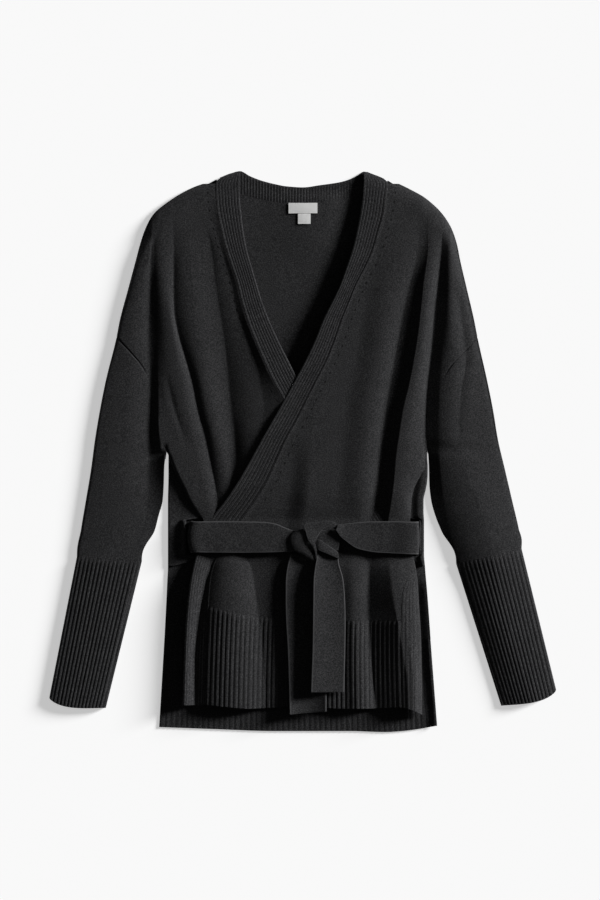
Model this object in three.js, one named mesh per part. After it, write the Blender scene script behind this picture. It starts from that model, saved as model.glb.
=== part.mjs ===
// Wrap cardigan with its own belt, laid flat on a table, front up.
// Fine-gauge knit: two crossed fronts, a plain back, drop-shoulder sleeves, ribbed hems, cuffs and
// front bands, open side slits, and a belt that runs through two side-seam slots and is knotted.
// The pattern is read from a cutting chart of square cells. Column c runs right, row r runs down.
import * as THREE from 'three';

// Driving sizes, in mm unless said.
const CELL = 1.3; // one chart cell
const MID_COL = 302.75; // chart column over the origin
const MID_ROW = 452.25; // chart row over the origin
const CENTRE_BACK = 303; // chart column of the seam in the neck band
const WALL = 1.8; // knitted cloth
const GAP = 0.3; // between pieces at a seam and between stacked layers
const SEAM = 0.15; // half of a seam gap, in cells
const BELT = 2.0; // belt cloth, doubled and pressed
const RIB_BAND = 0.6; // how far a rib stands out of the front bands
const RIB_HEM = 0.8; // how far a rib stands out of hems and cuffs
const FOLD_Z = 2.4; // height of the outermost line of a folded edge
const SOFT_EDGE = 20; // reach of the rounding at shoulders and sleeve folds
const BODY_EDGE = 9; // reach of the rounding where a front turns under at the side
const RIBS = { band: 8, hem: 42, cuff: 16, slit: 5, back: 52 };

const LAYER1 = WALL; // top of the back
const LAYER2 = LAYER1 + GAP; // underside of what lies on the back
const HIDDEN = LAYER2 + WALL; // top of the wrapped-under front where nothing shows

const X = (c) => (c - MID_COL) * CELL;
const Y = (r) => (MID_ROW - r) * CELL;
const clamp = (v, a = 0, b = 1) => Math.min(b, Math.max(a, v));
const mix = (a, b, t) => a + (b - a) * t;
const ease = (a, b, v) => {
  const t = clamp((v - a) / (b - a));
  return t * t * (3 - 2 * t);
};
const quarter = (s) => (s >= 1 ? 1 : s <= 0 ? 0 : Math.sqrt(1 - (1 - s) ** 2));

// A smooth line through [at, value] pairs that never swings past them.
function line(pairs) {
  const n = pairs.length;
  const d = pairs.slice(1).map((p, i) => (p[1] - pairs[i][1]) / (p[0] - pairs[i][0]));
  const m = pairs.map((_, i) => {
    if (i === 0) return d[0];
    if (i === n - 1) return d[n - 2];
    return d[i - 1] * d[i] <= 0 ? 0 : (2 * d[i - 1] * d[i]) / (d[i - 1] + d[i]);
  });
  return (at) => {
    if (at <= pairs[0][0]) return pairs[0][1];
    if (at >= pairs[n - 1][0]) return pairs[n - 1][1];
    let i = 0;
    while (at > pairs[i + 1][0]) i += 1;
    const h = pairs[i + 1][0] - pairs[i][0];
    const t = (at - pairs[i][0]) / h;
    const a = pairs[i][1];
    const b = pairs[i + 1][1];
    return a + (b - a) * t * t * (3 - 2 * t)
      + h * t * (1 - t) * (m[i] * (1 - t) - m[i + 1] * t);
  };
}

// A table whose first column is the row (or column) and whose other named columns become lines.
const chart = (names, data) => Object.fromEntries(
  names.split(' ').slice(1).map((name, k) => [
    name,
    line(data.map((row) => [row[0], row[k + 1]])),
  ]),
);

// Outline of the laid garment: outer edges of shoulders, sleeves and cuffs.
const OUTLINE = chart('row left right', [
  [171, 240, 364], [174, 229, 372], [178, 218, 383], [182, 209, 394], [186, 197, 403],
  [190, 188, 411], [198, 174, 425], [215, 153, 443], [230, 145, 452], [245, 140, 457],
  [260, 136, 460], [290, 128, 467], [320, 120, 474], [338, 116.5, 477.5], [380, 106, 487],
  [410, 100, 493], [440, 95, 498], [470, 91, 505], [500, 86, 512], [530, 81, 519],
  [560, 77, 524.5], [590, 71, 531], [620, 64, 538], [650, 57, 546], [698, 49, 557],
]);
// Inner edges of the sleeves and cuffs, and the armhole seams above the armpits.
const INNER = chart('row left right', [
  [452, 166.5, 428], [466, 164.5, 428.8], [485, 164, 429.3], [500, 163, 431], [515, 159, 435],
  [530, 155, 441], [545, 149, 448], [562, 142, 455], [590, 133, 467], [620, 125, 477],
  [650, 117, 486], [680, 111, 495], [696, 108, 499.5], [708, 105, 501],
]);
const ARMHOLE = chart('row left right', [
  [338, 116.8, 477.2], [343, 121.8, 472.4], [352, 130.2, 464.2], [366, 141.8, 450.8],
  [383, 149.9, 441.3], [404, 153.5, 436], [428, 157.8, 431], [452, 166.5, 427.2],
]);
// Body edges under the armpits: where each front turns under, and where the back folds forward.
const BODY = chart('row under over foldLeft foldRight', [
  [452, 166.8, 426.8, 168.5, 427], [456, 169, 426.8, 168.5, 427], [466, 172.5, 426.5, 168.5, 427.6],
  [474, 176, 422, 168.5, 427.6], [482, 180, 417, 168.4, 427], [490, 184, 413.5, 168.2, 425.6],
  [500, 188.5, 411.5, 168, 423.5], [511, 196, 411, 168, 423.5], [521, 204, 410, 168, 424],
  [537, 198, 411, 168, 424], [553, 198, 413, 168, 424], [567, 199, 415.5, 168, 425],
  [580, 201, 417.5, 167.4, 426], [605, 201, 419, 166.2, 428], [638, 201, 421, 164.5, 430.3],
  [665, 201, 421.6, 163, 432], [690, 201, 422, 161.5, 434.5], [710, 201, 422, 160, 436.5],
  [726, 201, 422, 159.2, 437],
]);
// Front bands: free edge and the seam that joins the band to its front.
const BAND = chart('row overEdge overSeam underEdge underSeam', [
  [171, 364, 364, 239.5, 239.5], [176, 363.8, 379, 239.5, 224], [184, 363.4, 388, 239.5, 215.4],
  [200, 362, 386, 240, 216], [215, 359.5, 384, 241.5, 218], [231, 356.5, 379.5, 243.5, 221.5],
  [250, 352, 374, 247, 226.5], [268, 346, 366, 252, 232.5], [285, 340, 357, 257, 238],
  [300, 333, 351, 261.5, 241.5], [320, 323, 343, 269, 247.5], [342, 314, 335.5, 279, 256],
  [365, 303, 326, 290.5, 266], [378, 296, 319, 297, 272], [398, 285, 309, 308, 283],
  [420, 272.5, 298, 322, 296], [440, 261, 287, 335, 308], [460, 250, 278, 348, 320],
  [480, 238.5, 269, 361, 333], [500, 225, 257, 374, 346], [521, 209, 242, 387, 359],
  [537, 202, 231, 396, 370], [553, 196.5, 221, 402, 378], [565, 193.7, 214.5, 404, 380],
  [580, 190.6, 211, 406, 382], [605, 187.5, 209, 408, 384], [630, 185.6, 207.6, 409, 385],
  [670, 184, 206, 410, 386], [705, 183, 205, 410, 386],
]);
// Seam of the ribbed facing at the right side slit, and hem lines across the columns.
const SLIT = line([[575, 409], [590, 402.5], [605, 401], [640, 400], [709, 401.5]]);
const FRONT_HEM = chart('col top bottom', [
  [183, 604, 703.5], [204, 605, 704], [225, 610, 706], [250, 615, 708], [285, 618, 706.6],
  [300, 618.8, 706], [345, 620, 708], [370, 620, 708], [400, 620, 706.6], [411, 620, 709],
  [422, 620, 714.5],
]);
const BACK_HEM = chart('col top bottom', [
  [159, 639, 727], [213, 639, 729], [275, 639, 731], [350, 639, 731], [385, 639, 732],
  [402, 639, 731], [418, 639, 729], [437, 639, 725.5],
]);
// Neck edge of the back (top of its ribbed band) and the seam under that band.
const NECK = chart('col edge seam', [
  [216, 178.9, 180], [228, 174.4, 188], [240, 171, 194], [250, 176, 197.4], [260, 180, 200],
  [275, 184, 202.6], [287, 186.2, 204], [303, 187.2, 204], [320, 185, 202.6], [340, 182, 200.6],
  [350, 179, 199.2], [357, 175.5, 197.6], [364, 171.5, 195], [376, 175.6, 189.5], [388, 179.9, 181],
]);

const NECK_STOPS = Array.from({ length: 13 }, (_, k) => 216 + (k * 172) / 12 + (k === 6 ? 1 : 0));

// Height of the cloth's upper face down the rows, where no fold cuts into it.
const LEVEL = chart('row under over sleeve hidden', [
  [171, 6, 6, 8, HIDDEN], [183, 8.5, 8.5, 9, HIDDEN], [200, 9.5, 10.5, 10, HIDDEN],
  [240, 10.5, 13.5, 10.5, HIDDEN], [300, 11.5, 15, 10.3, HIDDEN], [338, 11.5, 15, 9.6, HIDDEN],
  [404, 11.4, 15, 8, HIDDEN], [450, 11.2, 15, 7.5, HIDDEN], [482, 9, 15, 7.4, HIDDEN],
  [495, 7.8, 14.8, 7.4, HIDDEN], [507, 6.8, 12.4, 7.4, 4.8], [519, 6, 9, 7.4, 6],
  [556, 6, 9, 7.4, 6], [572, 5, 12.4, 7.3, 5], [588, HIDDEN, 14, 7.2, HIDDEN],
  [600, HIDDEN, 14.6, 7.2, HIDDEN], [710, HIDDEN, 14.6, 7, HIDDEN],
]);

// Folds: line down the cloth, depth down the cloth, and reach of the slope on either side (cells).
const fold = (path, depth, left, right) => ({ at: line(path), depth: line(depth), left, right });
const FOLDS_LEFT = {
  arm: fold([[230, 150], [280, 149], [340, 148], [382, 149.6], [404, 153.5], [428, 157.8], [452, 166.5]],
    [[236, 0], [285, 3.6], [340, 5.6], [400, 6.2], [430, 6], [452, 4.8]], 10, 10),
  side: fold([[250, 172], [280, 176], [320, 180], [360, 189], [400, 196], [440, 207], [480, 215],
    [515, 222]],
    [[236, 0], [290, 1.8], [340, 4], [390, 6.6], [440, 6.8], [482, 4.4], [500, 2.6], [516, 0]], 20, 14),
  bust: fold([[230, 204], [280, 217], [320, 227], [360, 230], [400, 234], [440, 241], [480, 247]],
    [[226, 0], [280, 2.4], [340, 4.6], [400, 6.4], [445, 6.6], [480, 4], [505, 0]], 15, 26),
};
const FOLDS_RIGHT = {
  chest: fold([[260, 388], [280, 385], [320, 378], [360, 369], [400, 362], [440, 357], [480, 354],
    [510, 351]],
    [[250, 0], [310, 1.6], [400, 2.6], [470, 2.2], [512, 0]], 18, 18),
  side: fold([[240, 420], [285, 412], [335, 402], [385, 393], [435, 385.5], [480, 380.5],
    [519, 376], [556, 372], [600, 371.5], [640, 373], [706, 379]],
    [[232, 0], [280, 3.6], [330, 7], [380, 8.6], [482, 8.6], [495, 6.6], [507, 3], [519, 0.4],
      [556, 0.4], [572, 4], [590, 7.4], [600, 8.2], [710, 8.2]], 20, 16),
  arm: fold([[230, 446], [280, 442], [330, 439.5], [382, 439], [404, 436], [428, 431], [452, 427.2]],
    [[236, 0], [285, 3.6], [340, 6.6], [400, 7.8], [430, 7.6], [452, 6.8]], 8, 20),
  tail: fold([[480, 303], [510, 298], [553, 270], [570, 266], [640, 271], [706, 275]],
    [[470, 0], [490, 1.6], [508, 0.4], [556, 0.4], [575, 4.6], [600, 7.8], [710, 7.8]], 22, 11),
  strip: fold([[555, 213], [580, 205], [610, 201.5], [650, 198], [705, 196.5]],
    [[557, 0], [575, 4], [592, 7.4], [610, 8], [710, 8]], 15, 22),
};
const dip = (f, c, r) => {
  const s = c - f.at(r);
  const k = 1 - Math.abs(s) / (s < 0 ? f.left : f.right);
  return k <= 0 ? 0 : f.depth(r) * k * k;
};
const dips = (folds, c, r) => Object.values(folds).reduce((sum, f) => sum + dip(f, c, r), 0);

// Where the back's forward-folded sides end, under the fronts. The step is the notch for the belt.
const FLAP = chart('row left right', [
  [456, 176, 418], [470, 181, 411], [486, 188, 406], [501, 195, 405], [511, 200, 405],
  [517.4, 201, 405], [519.4, 186.4, 419.4], [554.6, 186.4, 419.4], [556.6, 195, 413],
  [561, 190, 415], [565.5, 174, 422],
]);

// Distance in mm from a chart point to an edge given as rows.
function edgePath(edge, from, to, step = 3) {
  const pts = [];
  for (let r = from; r < to; r += step) pts.push([X(edge(r)), Y(r)]);
  pts.push([X(edge(to)), Y(to)]);
  return pts;
}
function distance(path, c, r) {
  const x = X(c);
  const y = Y(r);
  let best = Infinity;
  for (let i = 1; i < path.length; i += 1) {
    const [ax, ay] = path[i - 1];
    const [bx, by] = path[i];
    const t = clamp(((x - ax) * (bx - ax) + (y - ay) * (by - ay)) / ((bx - ax) ** 2 + (by - ay) ** 2));
    best = Math.min(best, Math.hypot(x - mix(ax, bx, t), y - mix(ay, by, t)));
  }
  return best;
}
const LEFT_OUT = edgePath(OUTLINE.left, 171, 698);
const RIGHT_OUT = edgePath(OUTLINE.right, 171, 698);

// Upper face of the left half: left sleeve, wrapped-under front and its band.
function under(c, r) {
  const side = ease(-7, 7, c - FOLDS_LEFT.arm.at(r));
  let z = mix(LEVEL.sleeve(r), LEVEL.under(r), r > 470 ? 1 : side) - dips(FOLDS_LEFT, c, r);
  const past = ease(0, 30, c - BAND.overEdge(r)) * ease(352, 384, r);
  z = mix(z, LEVEL.hidden(r), r > 521 ? 1 : past);
  const shoulder = r < 452 ? quarter(distance(LEFT_OUT, c, r) / SOFT_EDGE) : 1;
  z = mix(LAYER2, z, shoulder);
  const base = Math.min(z, HIDDEN + GAP);
  const turned = quarter(((c - BODY.under(r)) * CELL) / BODY_EDGE);
  z = mix(z, mix(base, z, turned), ease(440, 456, r) * (1 - ease(512, 520, r)));
  return Math.max(z, HIDDEN);
}
under.floor = (c, r) => {
  if (r > 516 && r < 560) return HIDDEN + GAP;
  return r > 450 && r < 520 && c < FLAP.left(r) + 3 ? HIDDEN + GAP : LAYER2;
};

// Upper face of the right half: right sleeve, front laid on top and its band.
function over(c, r) {
  const side = ease(-8, 10, c - FOLDS_RIGHT.arm.at(r));
  let z = mix(LEVEL.over(r), LEVEL.sleeve(r), r > 470 ? 0 : side) - dips(FOLDS_RIGHT, c, r);
  const lip = clamp(1 - (c - BAND.overEdge(r)) / 20);
  z += 1.8 * lip * lip * ease(205, 260, r) * (1 - ease(480, 516, r));
  const shoulder = r < 452 ? quarter(distance(RIGHT_OUT, c, r) / SOFT_EDGE) : 1;
  z = mix(LAYER2, z, shoulder);
  const reach = mix(BODY_EDGE, 17, ease(556, 580, r));
  const base = Math.min(z, mix(HIDDEN + GAP, 5, ease(556, 580, r)));
  const turned = quarter(((BODY.over(r) - c) * CELL) / reach);
  const belted = ease(512, 520, r) * (1 - ease(553, 562, r));
  z = mix(z, mix(base, z, turned), ease(440, 456, r) * (1 - belted));
  return Math.max(z, HIDDEN);
}
over.floor = (c, r) => (r > 450 && r < 570 && c > FLAP.right(r) - 3 ? HIDDEN + GAP : LAYER2);

// A point of a face with the inner point one wall below it, square to the cloth. Both sides of a
// seam take their slope on the seam line itself, at column m, so that their edges stay parallel.
function facePoint(height, c, r, raise = 0, m = c) {
  const e = 0.25;
  const floor = height.floor ? height.floor(c, r) : LAYER2;
  const z = Math.max(height(c, r), floor + 0.2);
  const n = new THREE.Vector3(
    -(height(m + e, r) - height(m - e, r)) / (2 * e * CELL),
    (height(m, r + e) - height(m, r - e)) / (2 * e * CELL),
    1,
  ).normalize();
  const p = new THREE.Vector3(X(c), Y(r), z);
  const inner = p.clone().addScaledVector(n, -WALL);
  inner.z = Math.max(inner.z, floor);
  return { out: p.addScaledVector(n, raise), in: inner };
}

// Closed wall between an outer grid and an inner grid. keep lists the outer columns that the plain
// inner face has, so ribs can be raised on one side only. live says which cells of the grid exist.
function wall(outer, inner, keep = outer[0].map((_, j) => j), live = () => true) {
  const pts = [];
  const tri = [];
  const put = (p) => pts.push(p.x, p.y, p.z) / 3 - 1;
  const O = outer.map((row) => row.map(put));
  const I = inner.map((row) => row.map(put));
  const rows = outer.length - 1;
  const spans = keep.length - 1;
  const on = (i, k) => i >= 0 && k >= 0 && i < rows && k < spans && live(i, k);
  for (let i = 0; i < rows; i += 1) {
    for (let k = 0; k < spans; k += 1) {
      if (!on(i, k)) continue;
      const a = keep[k];
      const b = keep[k + 1];
      for (let j = a; j < b; j += 1) {
        tri.push(O[i][j], O[i + 1][j], O[i + 1][j + 1], O[i][j], O[i + 1][j + 1], O[i][j + 1]);
        if (!on(i - 1, k)) tri.push(O[i][j], O[i][j + 1], I[i][k]);
        if (!on(i + 1, k)) tri.push(O[i + 1][j + 1], O[i + 1][j], I[i + 1][k]);
      }
      tri.push(I[i][k], I[i + 1][k + 1], I[i + 1][k], I[i][k], I[i][k + 1], I[i + 1][k + 1]);
      if (!on(i - 1, k)) tri.push(O[i][b], I[i][k + 1], I[i][k]);
      if (!on(i + 1, k)) tri.push(O[i + 1][b], I[i + 1][k], I[i + 1][k + 1]);
      if (!on(i, k - 1)) {
        tri.push(O[i + 1][a], O[i][a], I[i][k], O[i + 1][a], I[i][k], I[i + 1][k]);
      }
      if (!on(i, k + 1)) {
        tri.push(O[i][b], O[i + 1][b], I[i][k + 1], O[i + 1][b], I[i + 1][k + 1], I[i][k + 1]);
      }
    }
  }
  let volume = 0;
  const v = (i) => new THREE.Vector3(pts[3 * i], pts[3 * i + 1], pts[3 * i + 2]);
  for (let t = 0; t < tri.length; t += 3) {
    volume += v(tri[t]).dot(v(tri[t + 1]).cross(v(tri[t + 2])));
  }
  if (volume < 0) for (let t = 0; t < tri.length; t += 3) [tri[t], tri[t + 1]] = [tri[t + 1], tri[t]];
  const used = [...new Set(tri)];
  const at = new Map(used.map((id, k) => [id, k]));
  const g = new THREE.BufferGeometry();
  const flat = used.flatMap((id) => [pts[3 * id], pts[3 * id + 1], pts[3 * id + 2]]);
  g.setAttribute('position', new THREE.Float32BufferAttribute(flat, 3));
  g.setIndex(tri.map((id) => at.get(id)));
  g.computeVertexNormals();
  return g;
}
const split = (grid) => [grid.map((row) => row.map((p) => p.out)), grid.map((row) => row.map((p) => p.in))];

// Wall whose columns carry lengthwise ribs: point(i, f, raise) is its point at fraction f across.
function ribbedWall(rowCount, ribs, height, point) {
  const f = [];
  const keep = [];
  for (let k = 0; k < ribs; k += 1) {
    keep.push(f.length);
    f.push([k / ribs, 0], [(k + 0.5) / ribs, height]);
  }
  keep.push(f.length);
  f.push([1, 0]);
  const grid = Array.from({ length: rowCount }, (_, i) => f.map(([at, up]) => point(i, at, up)));
  const inner = grid.map((row) => keep.map((j) => row[j].in));
  return wall(grid.map((row) => row.map((p) => p.out)), inner, keep);
}

// Columns pressed between two ends without crossing, however narrow the row is.
function spread(xs) {
  const n = xs.length - 1;
  const g = Math.min(1.6, ((xs[n] - xs[0]) / n) * 0.45);
  for (let j = 1; j < n; j += 1) xs[j] = Math.max(xs[j], xs[j - 1] + g);
  for (let j = n - 1; j > 0; j -= 1) xs[j] = Math.min(xs[j], xs[j + 1] - g);
  return xs;
}
const between = (a, b, list) => list.map((t) => mix(a, b, t));

const meshes = [];
const KNIT = { color: 0x1d1d1f, roughness: 0.95, metalness: 0 };
function piece(name, geometry, look = KNIT) {
  const mesh = new THREE.Mesh(geometry, new THREE.MeshStandardMaterial(look));
  mesh.name = name;
  meshes.push(mesh);
}

// Rows shared by neighbours, so that their seam edges run through the same points.
const SHOULDER_ROWS = [191, 203, 220, 244, 272, 304, 338];
const ARM_ROWS = [343, 352, 366, 383, 404, 428, 452];
const SIDE_ROWS = [470, 486, 501, 511, 521, 537, 553];
const LOW_STEPS = [0.16, 0.34, 0.56, 0.78, 1];
const HEM_STEPS = [0, 0.25, 0.5, 0.75, 1];

// Front that wraps under: shoulder to its hidden lower edge.
const UNDER_LOW = [570, 590, 620];
const underRows = [184, ...SHOULDER_ROWS, ...ARM_ROWS, ...SIDE_ROWS, ...UNDER_LOW];
const underLeft = (r) => {
  if (r <= 338) return OUTLINE.left(r) + 0.05;
  return (r <= 452 ? ARMHOLE.left(r) : BODY.under(r)) + SEAM;
};
function underColumns(r) {
  const L = underLeft(r);
  const S = BAND.underSeam(r) - SEAM;
  const b = FOLDS_LEFT.side.at(r);
  const d = FOLDS_LEFT.bust.at(r);
  const tail = Math.max(d + 26, L + 60);
  return spread([L, L + 0.9, L + 3, L + 7, L + 14, b - 13, b - 5, b, b + 5, b + 13,
    d - 7, d, d + 9, d + 20, ...between(tail, S, [0.2, 0.6, 1])]);
}
const uniform = (columns, r, left, right) => {
  const ref = columns(300);
  const n = ref.length - 1;
  const f = ref.map((x) => (x - ref[0]) / (ref[n] - ref[0]));
  const w = ease(240, 300, r);
  return columns(r).map((x, j) => mix(mix(left, right, f[j]), x, w));
};
{
  const grid = underRows.map((r) => {
    const xs = r < 300 ? uniform(underColumns, r, underLeft(r), BAND.underSeam(r) - SEAM) : underColumns(r);
    const armhole = r > 340 && r <= 452;
    return xs.map((c, j) => facePoint(under, c, r, 0, armhole && j === 0 ? ARMHOLE.left(r) : c));
  });
  piece('front_under', wall(...split(grid)));
}
{
  const grid = [620 + 2 * SEAM, 655, 690].map((r) => between(BODY.under(r) + SEAM, BAND.underEdge(r),
    [0, 0.33, 0.66, 1]).map((c) => facePoint(() => HIDDEN, c, r)));
  piece('front_under_hem', wall(...split(grid)));
}
{
  const rows = [172.5, 177, 184, ...SHOULDER_ROWS, ...ARM_ROWS, ...SIDE_ROWS, ...UNDER_LOW];
  const point = (i, f, up) => {
    const r = rows[i];
    const seam = Math.max(BAND.underSeam(r), r < 184 ? OUTLINE.left(r) + 0.2 : 0) + SEAM;
    const c = mix(seam, BAND.underEdge(r), f);
    return facePoint(under, c, r, up * (1 - ease(390, 410, r)) * ease(172, 180, r));
  };
  piece('band_under', ribbedWall(rows.length, RIBS.band, RIB_BAND, point));
}

// Front laid on top. Below the belt its rows follow the slanted line of the hem seam.
const lowRow = (c, step) => mix(553, FRONT_HEM.top(c), step);
const overRight = (r) => {
  if (r <= 338) return OUTLINE.right(r) - 0.05;
  if (r <= 452) return ARMHOLE.right(r) - SEAM;
  return (r < 574 ? BODY.over(r) : SLIT(r)) - SEAM;
};
function overColumns(r) {
  const S = BAND.overSeam(r) + SEAM;
  const R = overRight(r);
  const d = FOLDS_RIGHT.chest.at(r);
  const e = FOLDS_RIGHT.side.at(r);
  const a = FOLDS_RIGHT.arm.at(r);
  if (r <= 530) {
    return spread([S, ...between(S, d - 12, [0.33, 0.67, 1]), d, d + 12, e - 22, e - 9, e, e + 4, e + 8,
      ...between(e + 8, a - 4, [0.5, 1]), a, a + 8, a + 20, R - 7, R - 3, R - 0.9, R]);
  }
  const h = FOLDS_RIGHT.tail.at(r);
  return spread([S, S + 8, S + 19, h - 22, h - 9, h, h + 5, h + 11, 318, 340, e - 26, e - 17, e - 8,
    e - 3, e, e + 3, e + 5.5, e + 8, R - 1.5, R]);
}
const overGrid = [
  ...[184, ...SHOULDER_ROWS, ...ARM_ROWS, ...SIDE_ROWS].map((r) => {
    const xs = r < 300 ? uniform(overColumns, r, BAND.overSeam(r) + SEAM, overRight(r)) : overColumns(r);
    return xs.map((c) => [c, r]);
  }),
  ...LOW_STEPS.map((step) => {
    const left = lowRow(209, step);
    const right = lowRow(405, step);
    const a = overColumns(left);
    const b = overColumns(right);
    const n = a.length - 1;
    return a.map((x, j) => mix(x, b[j], j / n)).map((c, j) => {
      if (j === 0) return [c, left];
      return [c, j === n ? right : lowRow(c, step)];
    });
  }),
];
piece('front_over', wall(...split(overGrid.map((row) => row.map(([c, r], j) => {
  const armhole = r > 340 && r <= 452 && j === row.length - 1;
  return facePoint(over, c, r, 0, armhole ? ARMHOLE.right(r) : c);
})))));

// Its ribbed hem starts on the straight runs between the points of the front's last row.
const overLast = overGrid[overGrid.length - 1];
const hemTop = (c) => {
  const k = clamp(overLast.findIndex((p) => p[0] >= c), 1, overLast.length - 1);
  const [a, b] = [overLast[k - 1], overLast[k]];
  return mix(a[1], b[1], clamp((c - a[0]) / (b[0] - a[0]))) + 2 * SEAM;
};
const hemSide = (step, side) => {
  const c = side < 0 ? 206 : 401;
  return mix(lowRow(side < 0 ? 209 : 405, 1) + 2 * SEAM, FRONT_HEM.bottom(c), step);
};
piece('front_over_hem', ribbedWall(HEM_STEPS.length, RIBS.hem, RIB_HEM, (i, f, up) => {
  const rl = hemSide(HEM_STEPS[i], -1);
  const rr = hemSide(HEM_STEPS[i], 1);
  const c = mix(BAND.overSeam(rl) + SEAM, SLIT(rr) - SEAM, f);
  const r = mix(hemTop(c), FRONT_HEM.bottom(c), HEM_STEPS[i]);
  return facePoint(over, c, r, up);
}));

// Band of the front laid on top: shoulder, neck, across the wrap, under the belt and to the hem.
{
  const left = lowRow(209, 0);
  const rows = [172.5, 177, 184, ...SHOULDER_ROWS, ...ARM_ROWS, ...SIDE_ROWS.slice(0, -1), left,
    ...LOW_STEPS.map((s) => lowRow(209, s)), ...HEM_STEPS.slice(1).map((s) => hemSide(s, -1))];
  piece('band_over', ribbedWall(rows.length, RIBS.band, RIB_BAND, (i, f, up) => {
    const r = rows[i];
    const seam = Math.min(BAND.overSeam(r), r < 184 ? OUTLINE.right(r) - 0.2 : 1e3) - SEAM;
    const c = mix(BAND.overEdge(r), seam, f);
    return facePoint(over, c, r, up * ease(172, 180, r));
  }));
}
// Ribbed facing at the right side slit.
{
  const rows = [...LOW_STEPS.slice(1).map((s) => lowRow(405, s)), ...HEM_STEPS.slice(1)
    .map((s) => hemSide(s, 1))];
  piece('slit_band_over', ribbedWall(rows.length, RIBS.slit, RIB_BAND, (i, f, up) => {
    const r = rows[i];
    const c = mix(SLIT(r) + 2 * SEAM, BODY.over(r), f);
    const drop = i === rows.length - 1 ? FRONT_HEM.bottom(c) - FRONT_HEM.bottom(401) : 0;
    return facePoint(over, c, r + Math.max(0, drop), up * ease(574, 590, r));
  }));
}

// Back: one sheet from shoulders to hem seam. Under the armpits each side folds forward over itself
// and ends at the side seam, with a notch there that the belt passes through.
{
  const flapRows = [456, 470, 486, 501, 511, 517.4, 519.4, 537, 554.6, 556.6, 561, 565.5];
  const lowRows = [567.5, 600, 639];
  const top = [
    ...[338, 272, 214].map((r) => [Math.max(OUTLINE.left(r), ARMHOLE.left(338) * (r === 338)), r]),
    ...NECK_STOPS.map((c) => [c, NECK.seam(c) + 2 * SEAM]),
    ...[214, 272, 338].map((r) => [r === 338 ? ARMHOLE.right(338) : OUTLINE.right(r), r]),
  ];
  top[0][0] += SEAM;
  top[top.length - 1][0] -= SEAM;
  const cols = top.length - 1;
  const grid = [338, ...ARM_ROWS].map((r, i, all) => {
    const v = i / (all.length - 1);
    return Array.from({ length: cols + 1 }, (_, j) => {
      const u = j / cols;
      const [tc, tr] = top[j];
      const lc = ARMHOLE.left(r) + SEAM;
      const rc = ARMHOLE.right(r) - SEAM;
      const [l0, r0, l1, r1] = [ARMHOLE.left(338) + SEAM, ARMHOLE.right(338) - SEAM,
        ARMHOLE.left(452) + SEAM, ARMHOLE.right(452) - SEAM];
      const c = (1 - v) * tc + v * mix(l1, r1, u) + mix(lc, rc, u)
        - ((1 - v) * mix(l0, r0, u) + v * mix(l1, r1, u));
      const y = (1 - v) * tr + v * 452 + r - ((1 - v) * 338 + v * 452);
      return [c, y];
    });
  });
  const turn = 2.6 / CELL;
  const curl = (r) => ease(517.4, 524, r) * (1 - ease(550, 556.6, r));
  const flap = (r, side) => {
    const f = side < 0 ? BODY.foldLeft(r) : BODY.foldRight(r);
    const e = side < 0 ? FLAP.left(r) : FLAP.right(r);
    const s = side < 0 ? 1 : -1;
    const b = f + s * turn;
    const at = (c, z, ci, zi) => ({
      out: new THREE.Vector3(X(c), Y(r), z), in: new THREE.Vector3(X(ci), Y(r), zi),
    });
    const k = curl(r);
    const mid = WALL + GAP / 2;
    const round = (a) => at(f + s * (mid / CELL) * (1 - Math.sin(a)), mid + mid * Math.cos(a),
      f + s * (mid - (GAP / 2) * Math.sin(a)) / CELL, mid + (GAP / 2) * Math.cos(a));
    return [
      at(e, mix(HIDDEN, 9, k), e + s * mix(0, 1.2, k), mix(LAYER2, 8.4, k)),
      at(mix(b, e, 0.92), mix(HIDDEN, 5.6, k), mix(b, e, 0.92) + s * 1.1 * k, mix(LAYER2, 4.6, k)),
      at(mix(b, e, 0.76), mix(HIDDEN, 4.2, k), mix(b, e, 0.82), LAYER2),
      at(mix(b, e, 0.4), HIDDEN, mix(b, e, 0.4), LAYER2),
      at(b, HIDDEN, b, LAYER2),
      round(Math.PI / 4), round(Math.PI / 2), round((3 * Math.PI) / 4),
      at(b, 0, b, LAYER1),
    ];
  };
  const F = 8;
  const flatRow = (r, pts) => {
    const out = pts.map(([c, rr]) => ({
      out: new THREE.Vector3(X(c), Y(rr), 0), in: new THREE.Vector3(X(c), Y(rr), LAYER1),
    }));
    return [...Array(F).fill(out[0]), ...out, ...Array(F).fill(out[cols])];
  };
  const all = grid.map((pts) => flatRow(0, pts));
  for (const r of [...flapRows, ...lowRows]) {
    const inFlap = r <= 565.5;
    const L = BODY.foldLeft(r) + (inFlap ? turn : 0);
    const R = BODY.foldRight(r) - (inFlap ? turn : 0);
    const pts = Array.from({ length: cols + 1 }, (_, j) => [mix(L, R, j / cols), r]);
    const row = flatRow(r, pts);
    if (inFlap) {
      const left = flap(r, -1);
      const right = flap(r, 1).reverse();
      for (let j = 0; j < F; j += 1) {
        row[j] = left[j];
        row[F + cols + 1 + j] = right[j + 1];
      }
    }
    all.push(row);
  }
  const first = grid.length;
  const last = first + flapRows.length - 1;
  const live = (i, k) => (k >= F && k < F + cols) || (i >= first && i < last);
  piece('back', wall(...split(all), undefined, live));
}
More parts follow.
